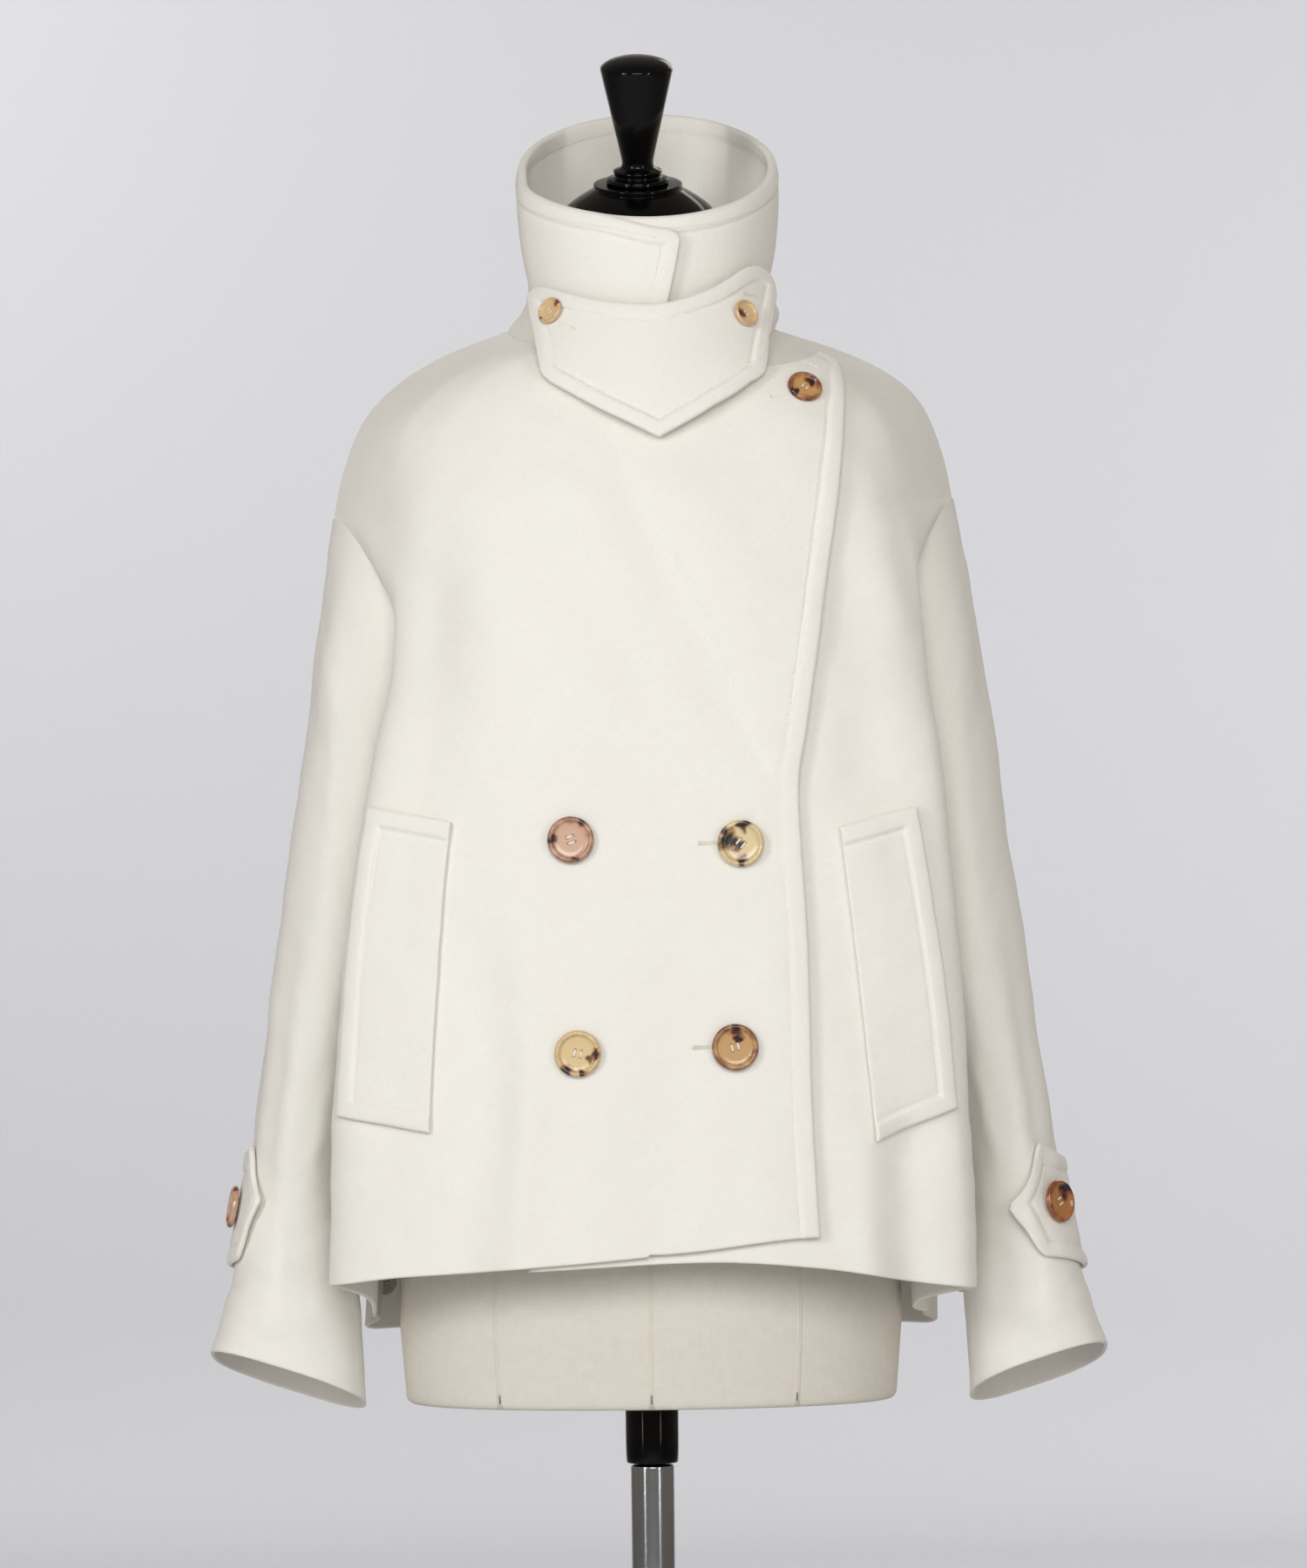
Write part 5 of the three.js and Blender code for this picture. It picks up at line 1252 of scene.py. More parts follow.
def form_tapes():
    """Flat tapes sewn down the form's seams, each a closed strip on the surface."""
    z = np.linspace(651, 1040, 60)[:, None]
    offsets = np.array([-1.5, -1.3, -0.8, 0, 0.8, 1.3, 1.5])
    parts = []
    for x0, face in ((-98, -1), (0, -1), (94, -1), (-98, 1), (0, 1), (94, 1)):
        half = np.interp(z, FORM["z"], FORM["x"])
        shrink = half / FORM["x"][0]
        x = (x0 * shrink + offsets) / half
        angle = np.arccos(np.sign(x) * np.abs(x) ** (1 / 0.9))
        line = form_point(z + 0 * x, -angle if face < 0 else angle)
        normal = unit(np.cross(np.gradient(line, axis=1), np.gradient(line, axis=0)))
        normal = normal * np.sign(np.sum(normal * [0, face, 0], -1, keepdims=True))
        rise = np.array([0.02, 0.15, 0.22, 0.25, 0.22, 0.15, 0.02])
        top, low = line + normal * rise[None, :, None], line - normal * 0.4
        points = np.concatenate([top.reshape(-1, 3), low.reshape(-1, 3)])
        parts.append((points, faces_out(points, wall_faces(60, 7, False), np.zeros((0, 3), int))[0]))
    points, faces = join_parts(parts)
    return finish_piece(new_object("form_tapes", points, faces, material_of("tape")), (), "linen")


def form_staples():
    """Small wire staples that hold the form's cover at its lower edge."""
    shape, faces = capsule(6, 0.5)
    x = np.array([-98.0, 0, 94])
    angle = -np.arccos(np.sign(x / 161.5) * np.abs(x / 161.5) ** (1 / 0.9))
    origins = form_point(np.full(3, 657.0), angle) + [0, -0.9, 0]
    ahead = unit(form_point(np.full(3, 659.0), angle) - form_point(np.full(3, 655.0), angle))
    points, quads = placed(shape, faces, origins, ahead, np.broadcast_to([0, -1.0, 0], (3, 3)))
    return finish_piece(new_object("form_staples", points, quads, material_of("wire")), (), "chrome")


def eased(profile, rounds=3):
    """A profile with its corners cut by a quarter on each side, again and again; its ends stay."""
    line = np.array(profile, float)
    for _ in range(rounds):
        a, b = line[:-1], line[1:]
        cut = np.stack([0.75 * a + 0.25 * b, 0.25 * a + 0.75 * b], 1).reshape(-1, 2)
        line = np.concatenate([line[:1], cut, line[-1:]])
    return line


def turned(name, node, profile, material, slot, sides=72, tilt=0.0, lift=(0, 0, 0)):
    """A turned piece of the stand or the form's neck that stands for its solid."""
    line = eased(profile)
    line[:, 0] = np.maximum(line[:, 0], 0.05)
    points, quads, tris = revolved(line[:, 0], line[:, 1], sides)
    c, s = np.cos(tilt), np.sin(tilt)
    points = points @ np.array([[1, 0, 0], [0, c, s], [0, -s, c]]) + np.array(lift, float)
    return finish_piece(new_object(name, points, quads, material_of(material), tris=tris), (node,), slot)


SOCKET_PROFILE = [
    (0, 608), (16, 608), (17.5, 609), (17.5, 646), (18, 648), (23, 648.4), (24, 649), (23.6, 649.6),
    (0, 649.6),
]
HUB_PROFILE = [
    (0, 14.4), (42, 14.4), (44, 15.5), (42.5, 19), (38, 23.5), (27, 28.5), (21.5, 31), (20, 33.6),
    (0, 34),
]
NECK_TILT = 0.32
NECK_AT = (0, -11, 1428.7)
CAP_PROFILE = [
    (0, 0), (46, 0), (50.6, 0.1), (51.6, 1.2), (51.2, 3.2), (47, 8), (40, 13.3), (32, 18.2), (30, 19.2),
    (29.3, 19.5), (29.2, 20), (29.3, 20.4), (29.3, 22.8), (29.1, 23.3), (28, 23.5), (0, 23.5),
]
FINIAL_PROFILE = [
    (0, 24), (19.6, 24), (20.6, 24.2), (20.8, 25), (20.6, 26.6), (20, 27.2), (16.4, 27.8), (15.5, 28.2),
    (15.3, 28.6), (15.3, 29.6), (16, 31), (16.2, 31.8), (15.9, 32.6), (12.8, 33.6), (11.2, 34.6),
    (10.4, 36), (10.3, 38), (11, 42), (23.2, 96), (23.9, 99.4), (23.9, 100.8), (23.4, 102), (19.5, 105),
    (14, 107), (7, 108.4), (0, 108.7),
]


# ---- materials ----
def rgb(code):
    """A linear colour from a six-figure hexadecimal display colour."""
    part = np.array([int(code[i : i + 2], 16) for i in (0, 2, 4)]) / 255
    linear = np.where(part <= 0.04045, part / 12.92, ((part + 0.055) / 1.055) ** 2.4)
    return (*linear.tolist(), 1.0)


def node(tree, kind, inputs=None, **settings):
    """A shader node with its settings and the values or links of its inputs."""
    made = tree.nodes.new(kind)
    for name, value in settings.items():
        setattr(made, name, value)
    for name, value in (inputs or {}).items():
        if isinstance(value, bpy.types.NodeSocket):
            tree.links.new(value, made.inputs[name])
        else:
            made.inputs[name].default_value = value
    return made


def group(name, sockets_in, sockets_out):
    """An empty shader group with named sockets: (name, type, default) in, (name, type) out."""
    tree = bpy.data.node_groups.new(name, "ShaderNodeTree")
    for title, kind, default in sockets_in:
        socket = tree.interface.new_socket(name=title, in_out="INPUT", socket_type="NodeSocket" + kind)
        if default is not None:
            socket.default_value = default
    for title, kind in sockets_out:
        tree.interface.new_socket(name=title, in_out="OUTPUT", socket_type="NodeSocket" + kind)
    return tree, tree.nodes.new("NodeGroupInput"), tree.nodes.new("NodeGroupOutput")


def math(tree, operation, a, b=0.5):
    """A math node's output."""
    return node(tree, "ShaderNodeMath", {0: a, 1: b}, operation=operation).outputs[0]


def mix(tree, share, a, b, blend="MIX"):
    """A mixed colour."""
    made = node(tree, "ShaderNodeMix", {"Factor": share}, data_type="RGBA", blend_type=blend)
    for socket, value in ((made.inputs[6], a), (made.inputs[7], b)):
        if isinstance(value, bpy.types.NodeSocket):
            tree.links.new(value, socket)
        else:
            socket.default_value = value
    return made.outputs[2]


def noise(tree, place, scale, detail=2.0, roughness=0.5):
    """A noise texture's value."""
    inputs = {"Vector": place, "Scale": scale, "Detail": detail, "Roughness": roughness}
    return node(tree, "ShaderNodeTexNoise", inputs).outputs[0]


WOOL_BUMP = 0.0003
SHADE_MOST = 0.08


def wool_group():
    """Brushed wool: a very faint diagonal twill under a nap of short fibres, mottled a little."""
    tree, into, out = group(
        "brushed wool",
        [("Place", "Vector", None), ("Cloth", "Vector", None), ("Colour", "Color", (0.8, 0.8, 0.7, 1)),
         ("Shade", "Color", (0.6, 0.5, 0.4, 1)), ("Twill pitch", "Float", 0.003), ("Nap", "Float", 1.0)],
        [("Colour", "Color"), ("Roughness", "Float"), ("Height", "Float")],
    )
    place, sheet, colour, shade, pitch, nap = (into.outputs[i] for i in range(6))
    per_metre = math(tree, "DIVIDE", 1.0, pitch)
    turned_ = node(tree, "ShaderNodeMapping", {"Vector": sheet, "Rotation": (0, 0, 1.05)}).outputs[0]
    soft = noise(tree, place, 260.0, 2.0)
    rate = math(tree, "MULTIPLY", per_metre, 0.32)
    wave = node(tree, "ShaderNodeTexWave", {
        "Vector": turned_, "Scale": rate, "Distortion": 1.4, "Detail": 2.0, "Detail Scale": 2.0,
    })
    twill = wave.outputs["Fac"]
    fibre = noise(tree, place, 1500.0, 3.0, 0.7)
    cloud = noise(tree, place, 22.0, 3.0)
    lint = math(tree, "MULTIPLY", math(tree, "SUBTRACT", fibre, 0.5), nap)
    grain = math(tree, "MULTIPLY", math(tree, "ADD", soft, lint), 0.28)
    tone = math(tree, "ADD", math(tree, "MULTIPLY", cloud, 0.22), grain)
    tone = math(tree, "ADD", tone, math(tree, "MULTIPLY", twill, 0.05))
    shadow = math(tree, "MULTIPLY", math(tree, "SUBTRACT", 0.4, tone), 0.5)
    clamped = node(tree, "ShaderNodeClamp", {"Value": shadow, "Min": 0.0, "Max": SHADE_MOST}).outputs[0]
    tree.links.new(mix(tree, clamped, colour, shade), out.inputs[0])
    tree.links.new(math(tree, "ADD", 0.88, math(tree, "MULTIPLY", soft, 0.12)), out.inputs[1])
    height = math(tree, "ADD", math(tree, "MULTIPLY", twill, 0.12), math(tree, "MULTIPLY", fibre, 0.7))
    height = math(tree, "ADD", height, math(tree, "MULTIPLY", soft, 0.6))
    tree.links.new(height, out.inputs[2])
    return tree


def weave_group():
    """Plain weave: two sets of threads at right angles, max(|sin|, |sin|) of the surface place."""
    tree, into, out = group(
        "plain weave",
        [("Place", "Vector", None), ("Colour", "Color", (0.8, 0.75, 0.6, 1)),
         ("Shade", "Color", (0.5, 0.45, 0.35, 1)), ("Threads", "Float", 900.0)],
        [("Colour", "Color"), ("Height", "Float")],
    )
    place, colour, shade, threads = (into.outputs[i] for i in range(4))
    bands = {"Vector": place, "Scale": threads, "Distortion": 0.6}
    across, down = (
        node(tree, "ShaderNodeTexWave", bands, bands_direction=axis).outputs["Fac"] for axis in "XZ"
    )
    height = math(tree, "MAXIMUM", across, down)
    slub = noise(tree, place, 160.0, 3.0)
    gaps = math(tree, "MULTIPLY", math(tree, "SUBTRACT", 1.0, height), 0.3)
    tone = math(tree, "ADD", gaps, math(tree, "MULTIPLY", slub, 0.25))
    tree.links.new(mix(tree, tone, colour, shade), out.inputs[0])
    tree.links.new(height, out.inputs[1])
    return tree


def tortoise_group():
    """Horn-like patches on a disc of radius 1: dark spots (x, y, size) and a dark rim, all bent by noise."""
    spots = [(f"Spot {k + 1}", "Vector", (9.0, 9.0, 0.1)) for k in range(4)]
    tree, into, out = group(
        "tortoise",
        [("Place", "Vector", None), ("Cloth", "Vector", None), ("Light", "Color", (0.6, 0.4, 0.2, 1)),
         ("Middle", "Color", (0.3, 0.12, 0.04, 1)), ("Dark", "Color", (0.02, 0.01, 0.01, 1)),
         ("Rim", "Float", 0.5), *spots],
        [("Colour", "Color")],
    )
    place, disc, light, middle, dark, rim = (into.outputs[i] for i in range(6))

    def vector(operation, a, b, result="Vector"):
        return node(tree, "ShaderNodeVectorMath", {0: a, 1: b}, operation=operation).outputs[result]

    def ramp(value, low, high):
        limits = {"Value": value, "From Min": low, "From Max": high}
        return node(tree, "ShaderNodeMapRange", limits).outputs[0]

    bend = node(tree, "ShaderNodeTexNoise", {"Vector": place, "Scale": 130.0, "Detail": 1.0}).outputs["Color"]
    bend = vector("MULTIPLY", vector("SUBTRACT", bend, (0.5, 0.5, 0.5)), (0.8, 0.8, 0.0))
    disc = vector("ADD", disc, bend)
    deep = math(tree, "MULTIPLY", ramp(vector("LENGTH", disc, (0, 0, 0), "Value"), 0.62, 0.98), rim)
    for k in range(4):
        spot = into.outputs[6 + k]
        size = node(tree, "ShaderNodeSeparateXYZ", {0: spot}).outputs[2]
        away = vector("DISTANCE", disc, vector("MULTIPLY", spot, (1.0, 1.0, 0.0)), "Value")
        deep = math(tree, "MAXIMUM", deep, math(tree, "SUBTRACT", 1.0, math(tree, "DIVIDE", away, size)))
    grain = noise(tree, place, 520.0, 3.0, 0.6)
    deep = math(tree, "ADD", deep, math(tree, "MULTIPLY", math(tree, "SUBTRACT", grain, 0.5), 0.3))
    first = mix(tree, ramp(deep, 0.05, 0.4), light, middle)
    tree.links.new(mix(tree, ramp(deep, 0.36, 0.62), first, dark), out.inputs[0])
    return tree


def shader(name):
    """A new material and its principled shader."""
    made = bpy.data.materials.new("look_" + name)
    made.use_nodes = True
    return made, made.node_tree, made.node_tree.nodes["Principled BSDF"]


def set_inputs(made, values):
    """Gives a node's unlinked inputs their values, by name."""
    for title, value in values.items():
        made.inputs[title].default_value = value


def placed_group(tree, shared, inputs):
    """A shared group put into a material, reading Object coordinates and the cloth's own UV map."""
    made = tree.nodes.new("ShaderNodeGroup")
    made.node_tree = shared
    place = node(tree, "ShaderNodeTexCoord").outputs["Object"]
    if "Place" in made.inputs:
        tree.links.new(place, made.inputs["Place"])
    if "Cloth" in made.inputs:
        tree.links.new(node(tree, "ShaderNodeUVMap", uv_map="cloth").outputs[0], made.inputs["Cloth"])
    set_inputs(made, inputs)
    return made


def bump(tree, height, distance, strength=1.0):
    """A bump normal from a height."""
    values = {"Height": height, "Distance": distance, "Strength": strength}
    return node(tree, "ShaderNodeBump", values).outputs[0]


def wool_material(name, colour, shade, nap):
    """A cloth material of the brushed wool group."""
    made, tree, base = shader(name)
    wool = placed_group(tree, shared_group("brushed wool"), {"Colour": colour, "Shade": shade, "Nap": nap})
    tree.links.new(wool.outputs["Colour"], base.inputs["Base Color"])
    tree.links.new(wool.outputs["Roughness"], base.inputs["Roughness"])
    tree.links.new(bump(tree, wool.outputs["Height"], WOOL_BUMP), base.inputs["Normal"])
    set_inputs(base, {"Specular IOR Level": 0.15, "Sheen Weight": 0.35, "Sheen Roughness": 0.6})
    return made


def linen_material(name, colour, shade):
    """The form's cover of plain weave."""
    made, tree, base = shader(name)
    weave = placed_group(
        tree, shared_group("plain weave"), {"Colour": colour, "Shade": shade, "Threads": 330.0}
    )
    tree.links.new(weave.outputs["Colour"], base.inputs["Base Color"])
    tree.links.new(bump(tree, weave.outputs["Height"], 0.0002), base.inputs["Normal"])
    base.inputs["Roughness"].default_value = 0.85
    return made


def horn_material(name, light, middle, dark, rim, spots):
    """A polished button material with its own colours and dark spots."""
    made, tree, base = shader(name)
    values = {"Light": rgb(light), "Middle": rgb(middle), "Dark": rgb(dark), "Rim": rim}
    values.update({f"Spot {k + 1}": spot for k, spot in enumerate(spots)})
    horn = placed_group(tree, shared_group("tortoise"), values)
    tree.links.new(horn.outputs["Colour"], base.inputs["Base Color"])
    set_inputs(base, {"Roughness": 0.2, "Coat Weight": 0.6, "Coat Roughness": 0.06})
    return made


def plain_material(name, colour, roughness, metallic=0.0, specular=0.5):
    """A plain finish with faint wear in its roughness."""
    made, tree, base = shader(name)
    place = node(tree, "ShaderNodeTexCoord").outputs["Object"]
    wear = math(tree, "MULTIPLY", noise(tree, place, 35.0, 3.0), 0.12)
    tree.links.new(math(tree, "ADD", wear, roughness - 0.06), base.inputs["Roughness"])
    set_inputs(base, {"Base Color": colour, "Metallic": metallic, "Specular IOR Level": specular})
    return made


def clear_material(name):
    """Clear resin."""
    made, _, base = shader(name)
    set_inputs(base, {
        "Base Color": rgb("e8e8e6"), "Roughness": 0.08, "Transmission Weight": 0.75, "IOR": 1.5,
    })
    return made


GROUPS = {"brushed wool": wool_group, "plain weave": weave_group, "tortoise": tortoise_group}


def shared_group(name):
    """The shared shader group of that name, built once."""
    return bpy.data.node_groups.get(name) or GROUPS[name]()


# Each horn's light, middle and dark colour, how dark its rim is, and its spots (x, y, size).
HORNS = {
    "horn_rose": (
        "cda58a", "8f5c3e", "2a1815", 0.36, ((-0.9, 0.05, 0.36), (0.5, 0.85, 0.42), (0.1, -0.95, 0.26))
    ),
    "horn_sand": (
        "dcc596", "94704a", "1b1412", 0.1,
        ((-0.6, 0.2, 0.55), (-0.2, 0.05, 0.38), (0.15, 0.8, 0.38), (0.0, -0.75, 0.38)),
    ),
    "horn_straw": (
        "dcc08f", "a06f42", "2a1a15", 0.15, ((-0.5, -0.8, 0.45), (0.25, -0.85, 0.28), (0.7, -0.05, 0.3))
    ),
    "horn_amber": ("c39a66", "763a1d", "1b0e0c", 0.36, ((0.0, 0.8, 0.5), (0.05, 0.4, 0.2))),
    "horn_brown": ("c8995f", "7a3a20", "2a1210", 0.4, ((0.5, 0.4, 0.55), (-0.7, -0.3, 0.4))),
    "horn_flap_left": ("dcbd8d", "a9714a", "6b3230", 0.14, ((0.5, 0.55, 0.42), (-0.7, -0.6, 0.16))),
    "horn_flap_right": ("dcbd8d", "a0614a", "6a2f3e", 0.14, ((-0.4, 0.0, 0.5), (0.7, -0.5, 0.16))),
    "horn_cuff_right": ("b57a42", "7e3c1f", "140b09", 0.34, ((0.5, 0.5, 0.6), (-0.8, -0.2, 0.3))),
    "horn_cuff_left": ("cbb79f", "b5602a", "6a2d14", 0.2, ((0.0, -0.9, 0.9), (0.4, 0.7, 0.3))),
}


def build_material(name):
    """One of the coat's materials, by name."""
    colours = bpy.context.scene.coat_colours
    if name in HORNS:
        return horn_material(name, *HORNS[name])
    makers = {
        "wool": lambda: wool_material("wool", (*colours.wool, 1), (*colours.wool_shade, 1), 1.0),
        "thread": lambda: plain_material("thread", (*colours.thread, 1), 0.75),
        "linen": lambda: linen_material("linen", (*colours.linen, 1), rgb("c4b9a5")),
        "tape": lambda: linen_material("tape", rgb("e8e2d5"), rgb("c0b5a1")),
        "wire": lambda: plain_material("wire", rgb("9a9a9a"), 0.35, 1.0),
        "black": lambda: plain_material("black_lacquer", rgb("050506"), 0.1, 0.0, 0.2),
        "chrome": lambda: plain_material("chrome", rgb("b0b4b8"), 0.16, 1.0),
        "base": lambda: plain_material("black_base", rgb("17171a"), 0.4),
        "clear": lambda: clear_material("clear_resin"),
    }
    return makers[name]()


def material_of(name):
    """A material of the coat, made on first use."""
    key = {"black": "black_lacquer", "base": "black_base", "clear": "clear_resin"}.get(name, name)
    return bpy.data.materials.get("look_" + key) or build_material(name)


# ---- settings ----
def colour_setting(title, use, code):
    """A colour that a user may change, first set to a six-figure display colour."""
    return bpy.props.FloatVectorProperty(
        name=title, description=use, subtype="COLOR", default=rgb(code)[:3], min=0, max=1
    )


def length_setting(title, use, metres):
    """A length that a user may change."""
    return bpy.props.FloatProperty(name=title, description=use, default=metres, unit="LENGTH")


class CoatColours(bpy.types.PropertyGroup):
    """Colours a user may change."""

    wool: colour_setting("Wool", "Lit side of the wool", "f1eee5")
    wool_shade: colour_setting("Wool shade", "Hollows of the nap", "cbbfae")
    thread: colour_setting("Thread", "Sewing thread", "efe9dc")
    linen: colour_setting("Linen", "Cover of the dress form", "ece6da")
    backdrop: colour_setting("Backdrop", "Floor and wall", "d9dadd")


class CoatSizes(bpy.types.PropertyGroup):
    """Sizes a user may change."""

    main_button: length_setting("Main button", "Radius of the main buttons", 0.015)
    cuff_button: length_setting("Cuff button", "Radius of the cuff buttons", 0.014)
    lapel_button: length_setting("Lapel button", "Radius of the lapel button", 0.0115)
    flap_button: length_setting("Flap button", "Radius of the throat flap's buttons", 0.009)
    lens: bpy.props.FloatProperty(
        name="Lens", description="Focal length of the camera in millimetres", default=156.5
    )
    camera_away: length_setting("Camera distance", "Distance from the coat", 4.5)


# The flat size of each cut piece in metres, and its area in square metres.
CUTS = {
    "front_over": ((0.42, 0.66), 0.247),
    "front_under": ((0.39, 0.66), 0.230),
    "back": ((0.56, 0.72), 0.353),
    "sleeve": ((0.36, 0.62), 0.159),
    "strap_left": ((0.27, 0.071), 0.0175),
    "strap_right": ((0.295, 0.071), 0.0193),
    "collar": ((0.62, 0.15), 0.070),
    "chin_flap": ((0.18, 0.115), 0.0144),
    "pocket": ((0.075, 0.215), 0.013),
}


# ---- operators ----
class COAT_OT_fronts(bpy.types.Operator):
    """Builds the upper and the lower front."""

    bl_idname = "coat.fronts"
    bl_label = "Fronts"

    def execute(self, context):
        upper, threads = over_front()
        finish_piece(upper, ("coat_front_over",), "wool", *CUTS["front_over"], ["form_torso"], [threads])
        lower = under_front()
        finish_piece(lower, ("coat_front_under",), "wool", *CUTS["front_under"], ["form_torso"])
        return {"FINISHED"}


class COAT_OT_back(bpy.types.Operator):
    """Builds the back."""

    bl_idname = "coat.back"
    bl_label = "Back"

    def execute(self, context):
        finish_piece(back_panel(), ("coat_back",), "wool", *CUTS["back"], ["form_torso"])
        return {"FINISHED"}


class COAT_OT_sleeves(bpy.types.Operator):
    """Builds both sleeves."""

    bl_idname = "coat.sleeves"
    bl_label = "Sleeves"

    def execute(self, context):
        for side, word in ((-1, "left"), (1, "right")):
            nodes = (f"coat_top_sleeve_{word}", f"coat_under_sleeve_{word}")
            finish_piece(sleeve(side), nodes, "wool", *CUTS["sleeve"], ["coat_back_cloth"])
        return {"FINISHED"}


class COAT_OT_straps(bpy.types.Operator):
    """Builds the cuff straps."""

    bl_idname = "coat.straps"
    bl_label = "Cuff straps"

    def execute(self, context):
        for side, word in ((-1, "left"), (1, "right")):
            piece, threads = strap(side)
            rests = [f"coat_sleeve_{word}_cloth"]
            node_name = "coat_strap_" + word
            finish_piece(piece, (node_name,), "wool", *CUTS["strap_" + word], rests, [threads], "laid")
        return {"FINISHED"}


class COAT_OT_collar(bpy.types.Operator):
    """Builds the stand collar."""

    bl_idname = "coat.collar"
    bl_label = "Collar"

    def execute(self, context):
        piece, threads = collar()
        finish_piece(piece, ("coat_collar",), "wool", *CUTS["collar"], ["coat_back_cloth"], [threads])
        return {"FINISHED"}


class COAT_OT_flap(bpy.types.Operator):
    """Builds the throat flap."""

    bl_idname = "coat.flap"
    bl_label = "Throat flap"

    def execute(self, context):
        piece, threads = chin_flap()
        rests = ["coat_front_over_cloth"]
        finish_piece(piece, ("coat_chin_flap",), "wool", *CUTS["chin_flap"], rests, [threads])
        return {"FINISHED"}


class COAT_OT_pockets(bpy.types.Operator):
    """Builds the pocket welts."""

    bl_idname = "coat.pockets"
    bl_label = "Pocket welts"

    def execute(self, context):
        for side, word in ((-1, "left"), (1, "right")):
            piece, threads = pocket(side)
            rests = ["coat_front_over_cloth" if side < 0 else "coat_front_under_cloth"]
            node_name = "coat_pocket_" + word
            finish_piece(piece, (node_name,), "wool", *CUTS["pocket"], rests, [threads], "laid")
        return {"FINISHED"}


class COAT_OT_buttons(bpy.types.Operator):
    """Sews on all the buttons and works their buttonholes."""

    bl_idname = "coat.buttons"
    bl_label = "Buttons"

    def execute(self, context):
        sizes = context.scene.coat_sizes
        main, cuff, lapel, small = (
            (getattr(sizes, kind + "_button") / MM, height) for kind, height in BUTTON_HEIGHTS.items()
        )
        horns = ("horn_rose", "horn_sand", "horn_straw", "horn_amber")
        for i, (x, z) in enumerate(MAIN_BUTTONS):
            place, normal = front_place(x, z)
            turn = 0.35 + 0.5 * i
            button(f"button_main_{i + 1}", place + 0.6 * normal, normal, main, material_of(horns[i]), turn)
        for i in (1, 3):
            x, z = MAIN_BUTTONS[i]
            place, normal = front_place(x - 14, z + 0.5)
            buttonhole(f"buttonhole_main_{i + 1}", place, normal, (1, 0, 0.02), 24)
        x, z = LAPEL_BUTTON
        place, normal = front_place(x, z)
        button("button_lapel", place - 0.2 * normal, normal, lapel, material_of("horn_brown"), 0.9)
        place, normal = front_place(x - 13, z - 5)
        buttonhole("buttonhole_lapel", place, normal, (1, 0, 0.25), 18)
        for word, x, z, gap in FLAP_BUTTONS:
            place, normal = flap_place(x, z)
            horn = material_of(f"horn_flap_{word}")
            button(f"button_flap_{word}", place + gap * normal, normal, small, horn, 0.6)
        for word, x, z, slope in FLAP_HOLES:
            place, normal = flap_place(x, z)
            buttonhole(f"buttonhole_flap_{word}", place + 0.4 * normal, normal, (1, 0, slope), 11)
        for side, word in ((-1, "left"), (1, "right")):
            for where, from_tip, gap in STRAP_BUTTONS:
                start = STRAP_TIPS[side][0]
                angle = np.array([start - from_tip if where == "outer" else STRAP_END + from_tip])
                at = (angle, strap_middle(side, angle))
                normal = sleeve_normal(side, *at)[0]
                rise = sleeve_fold(side, *at)[0] + STRAP_LOOSE + CLOTH + gap
                place = sleeve_point(side, *at)[0] + rise * normal
                horn = material_of(f"horn_cuff_{word}")
                button(f"button_cuff_{word}_{where}", place, normal, cuff, horn, 0.4)
        p, z = (np.array([value]) for value in SPARE_BUTTON)
        at = (p, level_of(1, p, z))
        normal = -body_normal(1, *at)[0]
        place = body_point(1, *at)[0] + (CLOTH + 1.1) * normal
        button("button_spare", place, normal, small, material_of("clear"), 0.2, "clear_resin")
        return {"FINISHED"}


class COAT_OT_form(bpy.types.Operator):
    """Builds the dress form with its tapes, staples, neck cap and finial."""

    bl_idname = "coat.form"
    bl_label = "Dress form"

    def execute(self, context):
        form_torso()
        form_tapes()
        form_staples()
        on_neck = (96, NECK_TILT, NECK_AT)
        for node_name, profile in (("form_neck_cap", CAP_PROFILE), ("form_finial", FINIAL_PROFILE)):
            turned(node_name + "_turned", node_name, profile, "black", "black_lacquer", *on_neck)
        return {"FINISHED"}


class COAT_OT_stand(bpy.types.Operator):
    """Builds the socket, pole, hub and base of the stand."""

    bl_idname = "coat.stand"
    bl_label = "Stand"

    def execute(self, context):
        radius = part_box("stand_base")[1][0] / MM
        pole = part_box("stand_pole")[1][0] / MM
        low, high = (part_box("stand_pole")[k][2] / MM for k in (0, 1))
        turned("stand_socket_turned", "stand_socket", SOCKET_PROFILE, "black", "black_lacquer")
        tube = [(0, low), (pole, low), (pole, low + 4), (pole, high - 4), (pole, high), (0, high)]
        turned("stand_pole_turned", "stand_pole", tube, "chrome", "chrome")
        turned("stand_hub_turned", "stand_hub", HUB_PROFILE, "base", "black_base")
        rim = [(3, 0), (0, 2), (0, 8.5), (2, 11.5), (7, 13.4), (14, 14)]
        disc = [(0, 0)] + [(radius - inset, z) for inset, z in rim] + [(0, 14)]
        turned("stand_base_turned", "stand_base", disc, "base", "black_base", 160)
        return {"FINISHED"}


WALL_Y = 6100
STAGE_PROFILE = [(-7000, 0), (-3000, 0), (WALL_Y - 700, 0)] + [(WALL_Y, z) for z in (0, 700, 3000, 7000)]
ROOM_COLOUR, ROOM_STRENGTH = "f5e7d6", 0.27
CAMERA_X, CAMERA_Z, CAMERA_TARGET, CAMERA_ROLL = 0.006, 0.975, (0.0058, 0, 1.0554), -0.0115
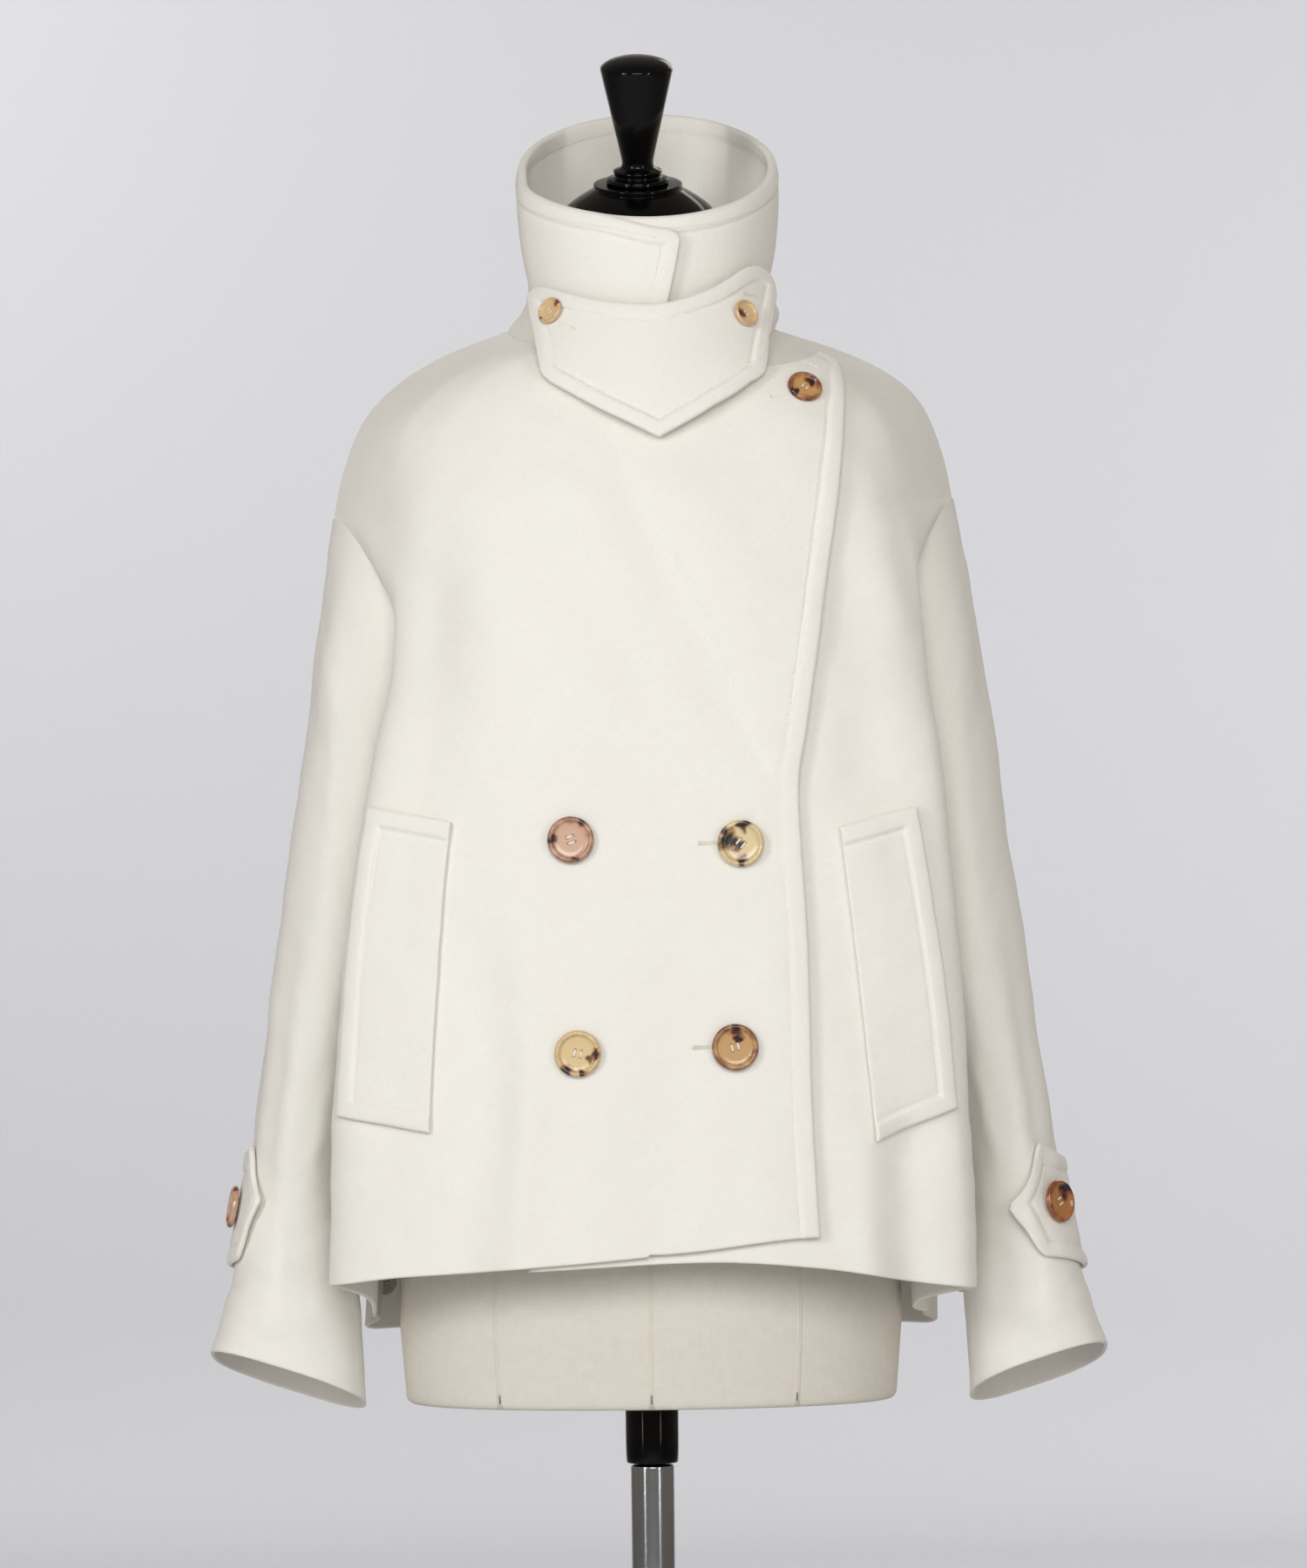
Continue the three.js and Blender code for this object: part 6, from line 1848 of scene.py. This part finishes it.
# Each lamp's name, place and target in metres, power in watts, width, height and colour.
LAMPS = (
    ("key_light", (-2.1, -2.8, 2.1), (0, 0, 1.1), 24.0, 0.9, 0.9, "f4f9ff"),
    ("front_light", (0.1, -4.3, 2.5), (0, 0, 1.1), 84.0, 2.2, 2.2, "f6faff"),
    ("back_light", (1.2, 2.2, 2.6), (0, 0, 1.1), 12.0, 1.4, 1.4, "fffaf2"),
    ("strip_left", (-1.7, -1.9, 1.3), (0, 0, 1.1), 9.0, 0.1, 1.8, "ffffff"),
    ("strip_right", (1.6, -2.1, 1.3), (0, 0, 1.1), 9.5, 0.12, 1.8, "ffffff"),
    ("wall_light", (-2.4, 3.9, 3.0), (0.4, 6.1, 1.2), 67.0, 2.5, 2.5, "fbfbff"),
    ("wall_light_right", (2.6, 3.7, 1.8), (-0.2, 6.1, 0.8), 53.0, 2.5, 2.5, "fbfbff"),
)


class COAT_OT_stage(bpy.types.Operator):
    """Sets the backdrop, the lights and the camera."""

    bl_idname = "coat.stage"
    bl_label = "Stage"

    def execute(self, context):
        scene = context.scene
        colours, sizes = scene.coat_colours, scene.coat_sizes
        profile = eased(STAGE_PROFILE, 4)
        x = np.linspace(-6000, 6000, 3)
        grid = stack(x[None], profile[:, :1], profile[:, 1:])
        points = np.concatenate([grid.reshape(-1, 3), (grid + [0, 40, -40]).reshape(-1, 3)])
        made, _, base = shader("backdrop")
        wall = {"Base Color": (*colours.backdrop, 1), "Roughness": 0.9, "Specular IOR Level": 0.1}
        set_inputs(base, wall)
        stage = new_object("stage_backdrop", points, wall_faces(len(profile), 3, False), made)
        world = bpy.data.worlds.new("soft room")
        world.use_nodes = True
        glow = {"Color": rgb(ROOM_COLOUR), "Strength": ROOM_STRENGTH}
        set_inputs(world.node_tree.nodes["Background"], glow)
        scene.world = world
        for name, place, target, power, wide, tall, colour in LAMPS:
            lamp = bpy.data.lights.new(name, "AREA")
            lamp.shape = "RECTANGLE"
            lamp.energy, lamp.size, lamp.size_y, lamp.color = power, wide, tall, rgb(colour)[:3]
            obj = bpy.data.objects.new(name, lamp)
            obj.location = place
            obj.rotation_euler = aim(place, target).to_euler()
            scene.collection.objects.link(obj)
        scene.view_settings.view_transform = "Standard"
        camera = bpy.data.cameras.new("camera")
        camera.lens, camera.clip_end = sizes.lens, 60
        view = bpy.data.objects.new("camera", camera)
        view.location = (CAMERA_X, -sizes.camera_away, CAMERA_Z)
        turn = aim(view.location, CAMERA_TARGET)
        view.rotation_euler = (turn @ Quaternion((0, 0, 1), CAMERA_ROLL)).to_euler()
        scene.collection.objects.link(view)
        scene.camera = view
        return {"FINISHED"}


def aim(start, target):
    """The rotation of a lamp or camera at start that looks at target."""
    return (Vector(target) - Vector(start)).to_track_quat("-Z", "Y")


OPERATORS = (
    COAT_OT_fronts,
    COAT_OT_back,
    COAT_OT_sleeves,
    COAT_OT_straps,
    COAT_OT_collar,
    COAT_OT_flap,
    COAT_OT_pockets,
    COAT_OT_buttons,
    COAT_OT_form,
    COAT_OT_stand,
    COAT_OT_stage,
)


class COAT_PT_panel(bpy.types.Panel):
    """Lists the coat's pieces and settings."""

    bl_label = "Double-breasted coat"
    bl_space_type = "VIEW_3D"
    bl_region_type = "UI"
    bl_category = "Coat"

    def draw(self, context):
        for settings in (context.scene.coat_sizes, context.scene.coat_colours):
            for name in settings.bl_rna.properties.keys():
                if name not in ("rna_type", "name"):
                    self.layout.prop(settings, name)
        for operator in OPERATORS:
            self.layout.operator(operator.bl_idname)


CLASSES = (CoatColours, CoatSizes, *OPERATORS, COAT_PT_panel)


def register():
    """Adds the classes and their settings."""
    for cls in CLASSES:
        bpy.utils.register_class(cls)
    bpy.types.Scene.coat_colours = bpy.props.PointerProperty(type=CoatColours)
    bpy.types.Scene.coat_sizes = bpy.props.PointerProperty(type=CoatSizes)


def unregister():
    """Takes the classes and their settings away."""
    del bpy.types.Scene.coat_sizes
    del bpy.types.Scene.coat_colours
    for cls in reversed(CLASSES):
        bpy.utils.unregister_class(cls)


def main():
    """Builds the coat piece by piece."""
    register()
    for operator in OPERATORS:
        getattr(bpy.ops.coat, operator.bl_idname.split(".")[1])()
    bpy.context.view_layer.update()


if __name__ == "__main__":
    main()
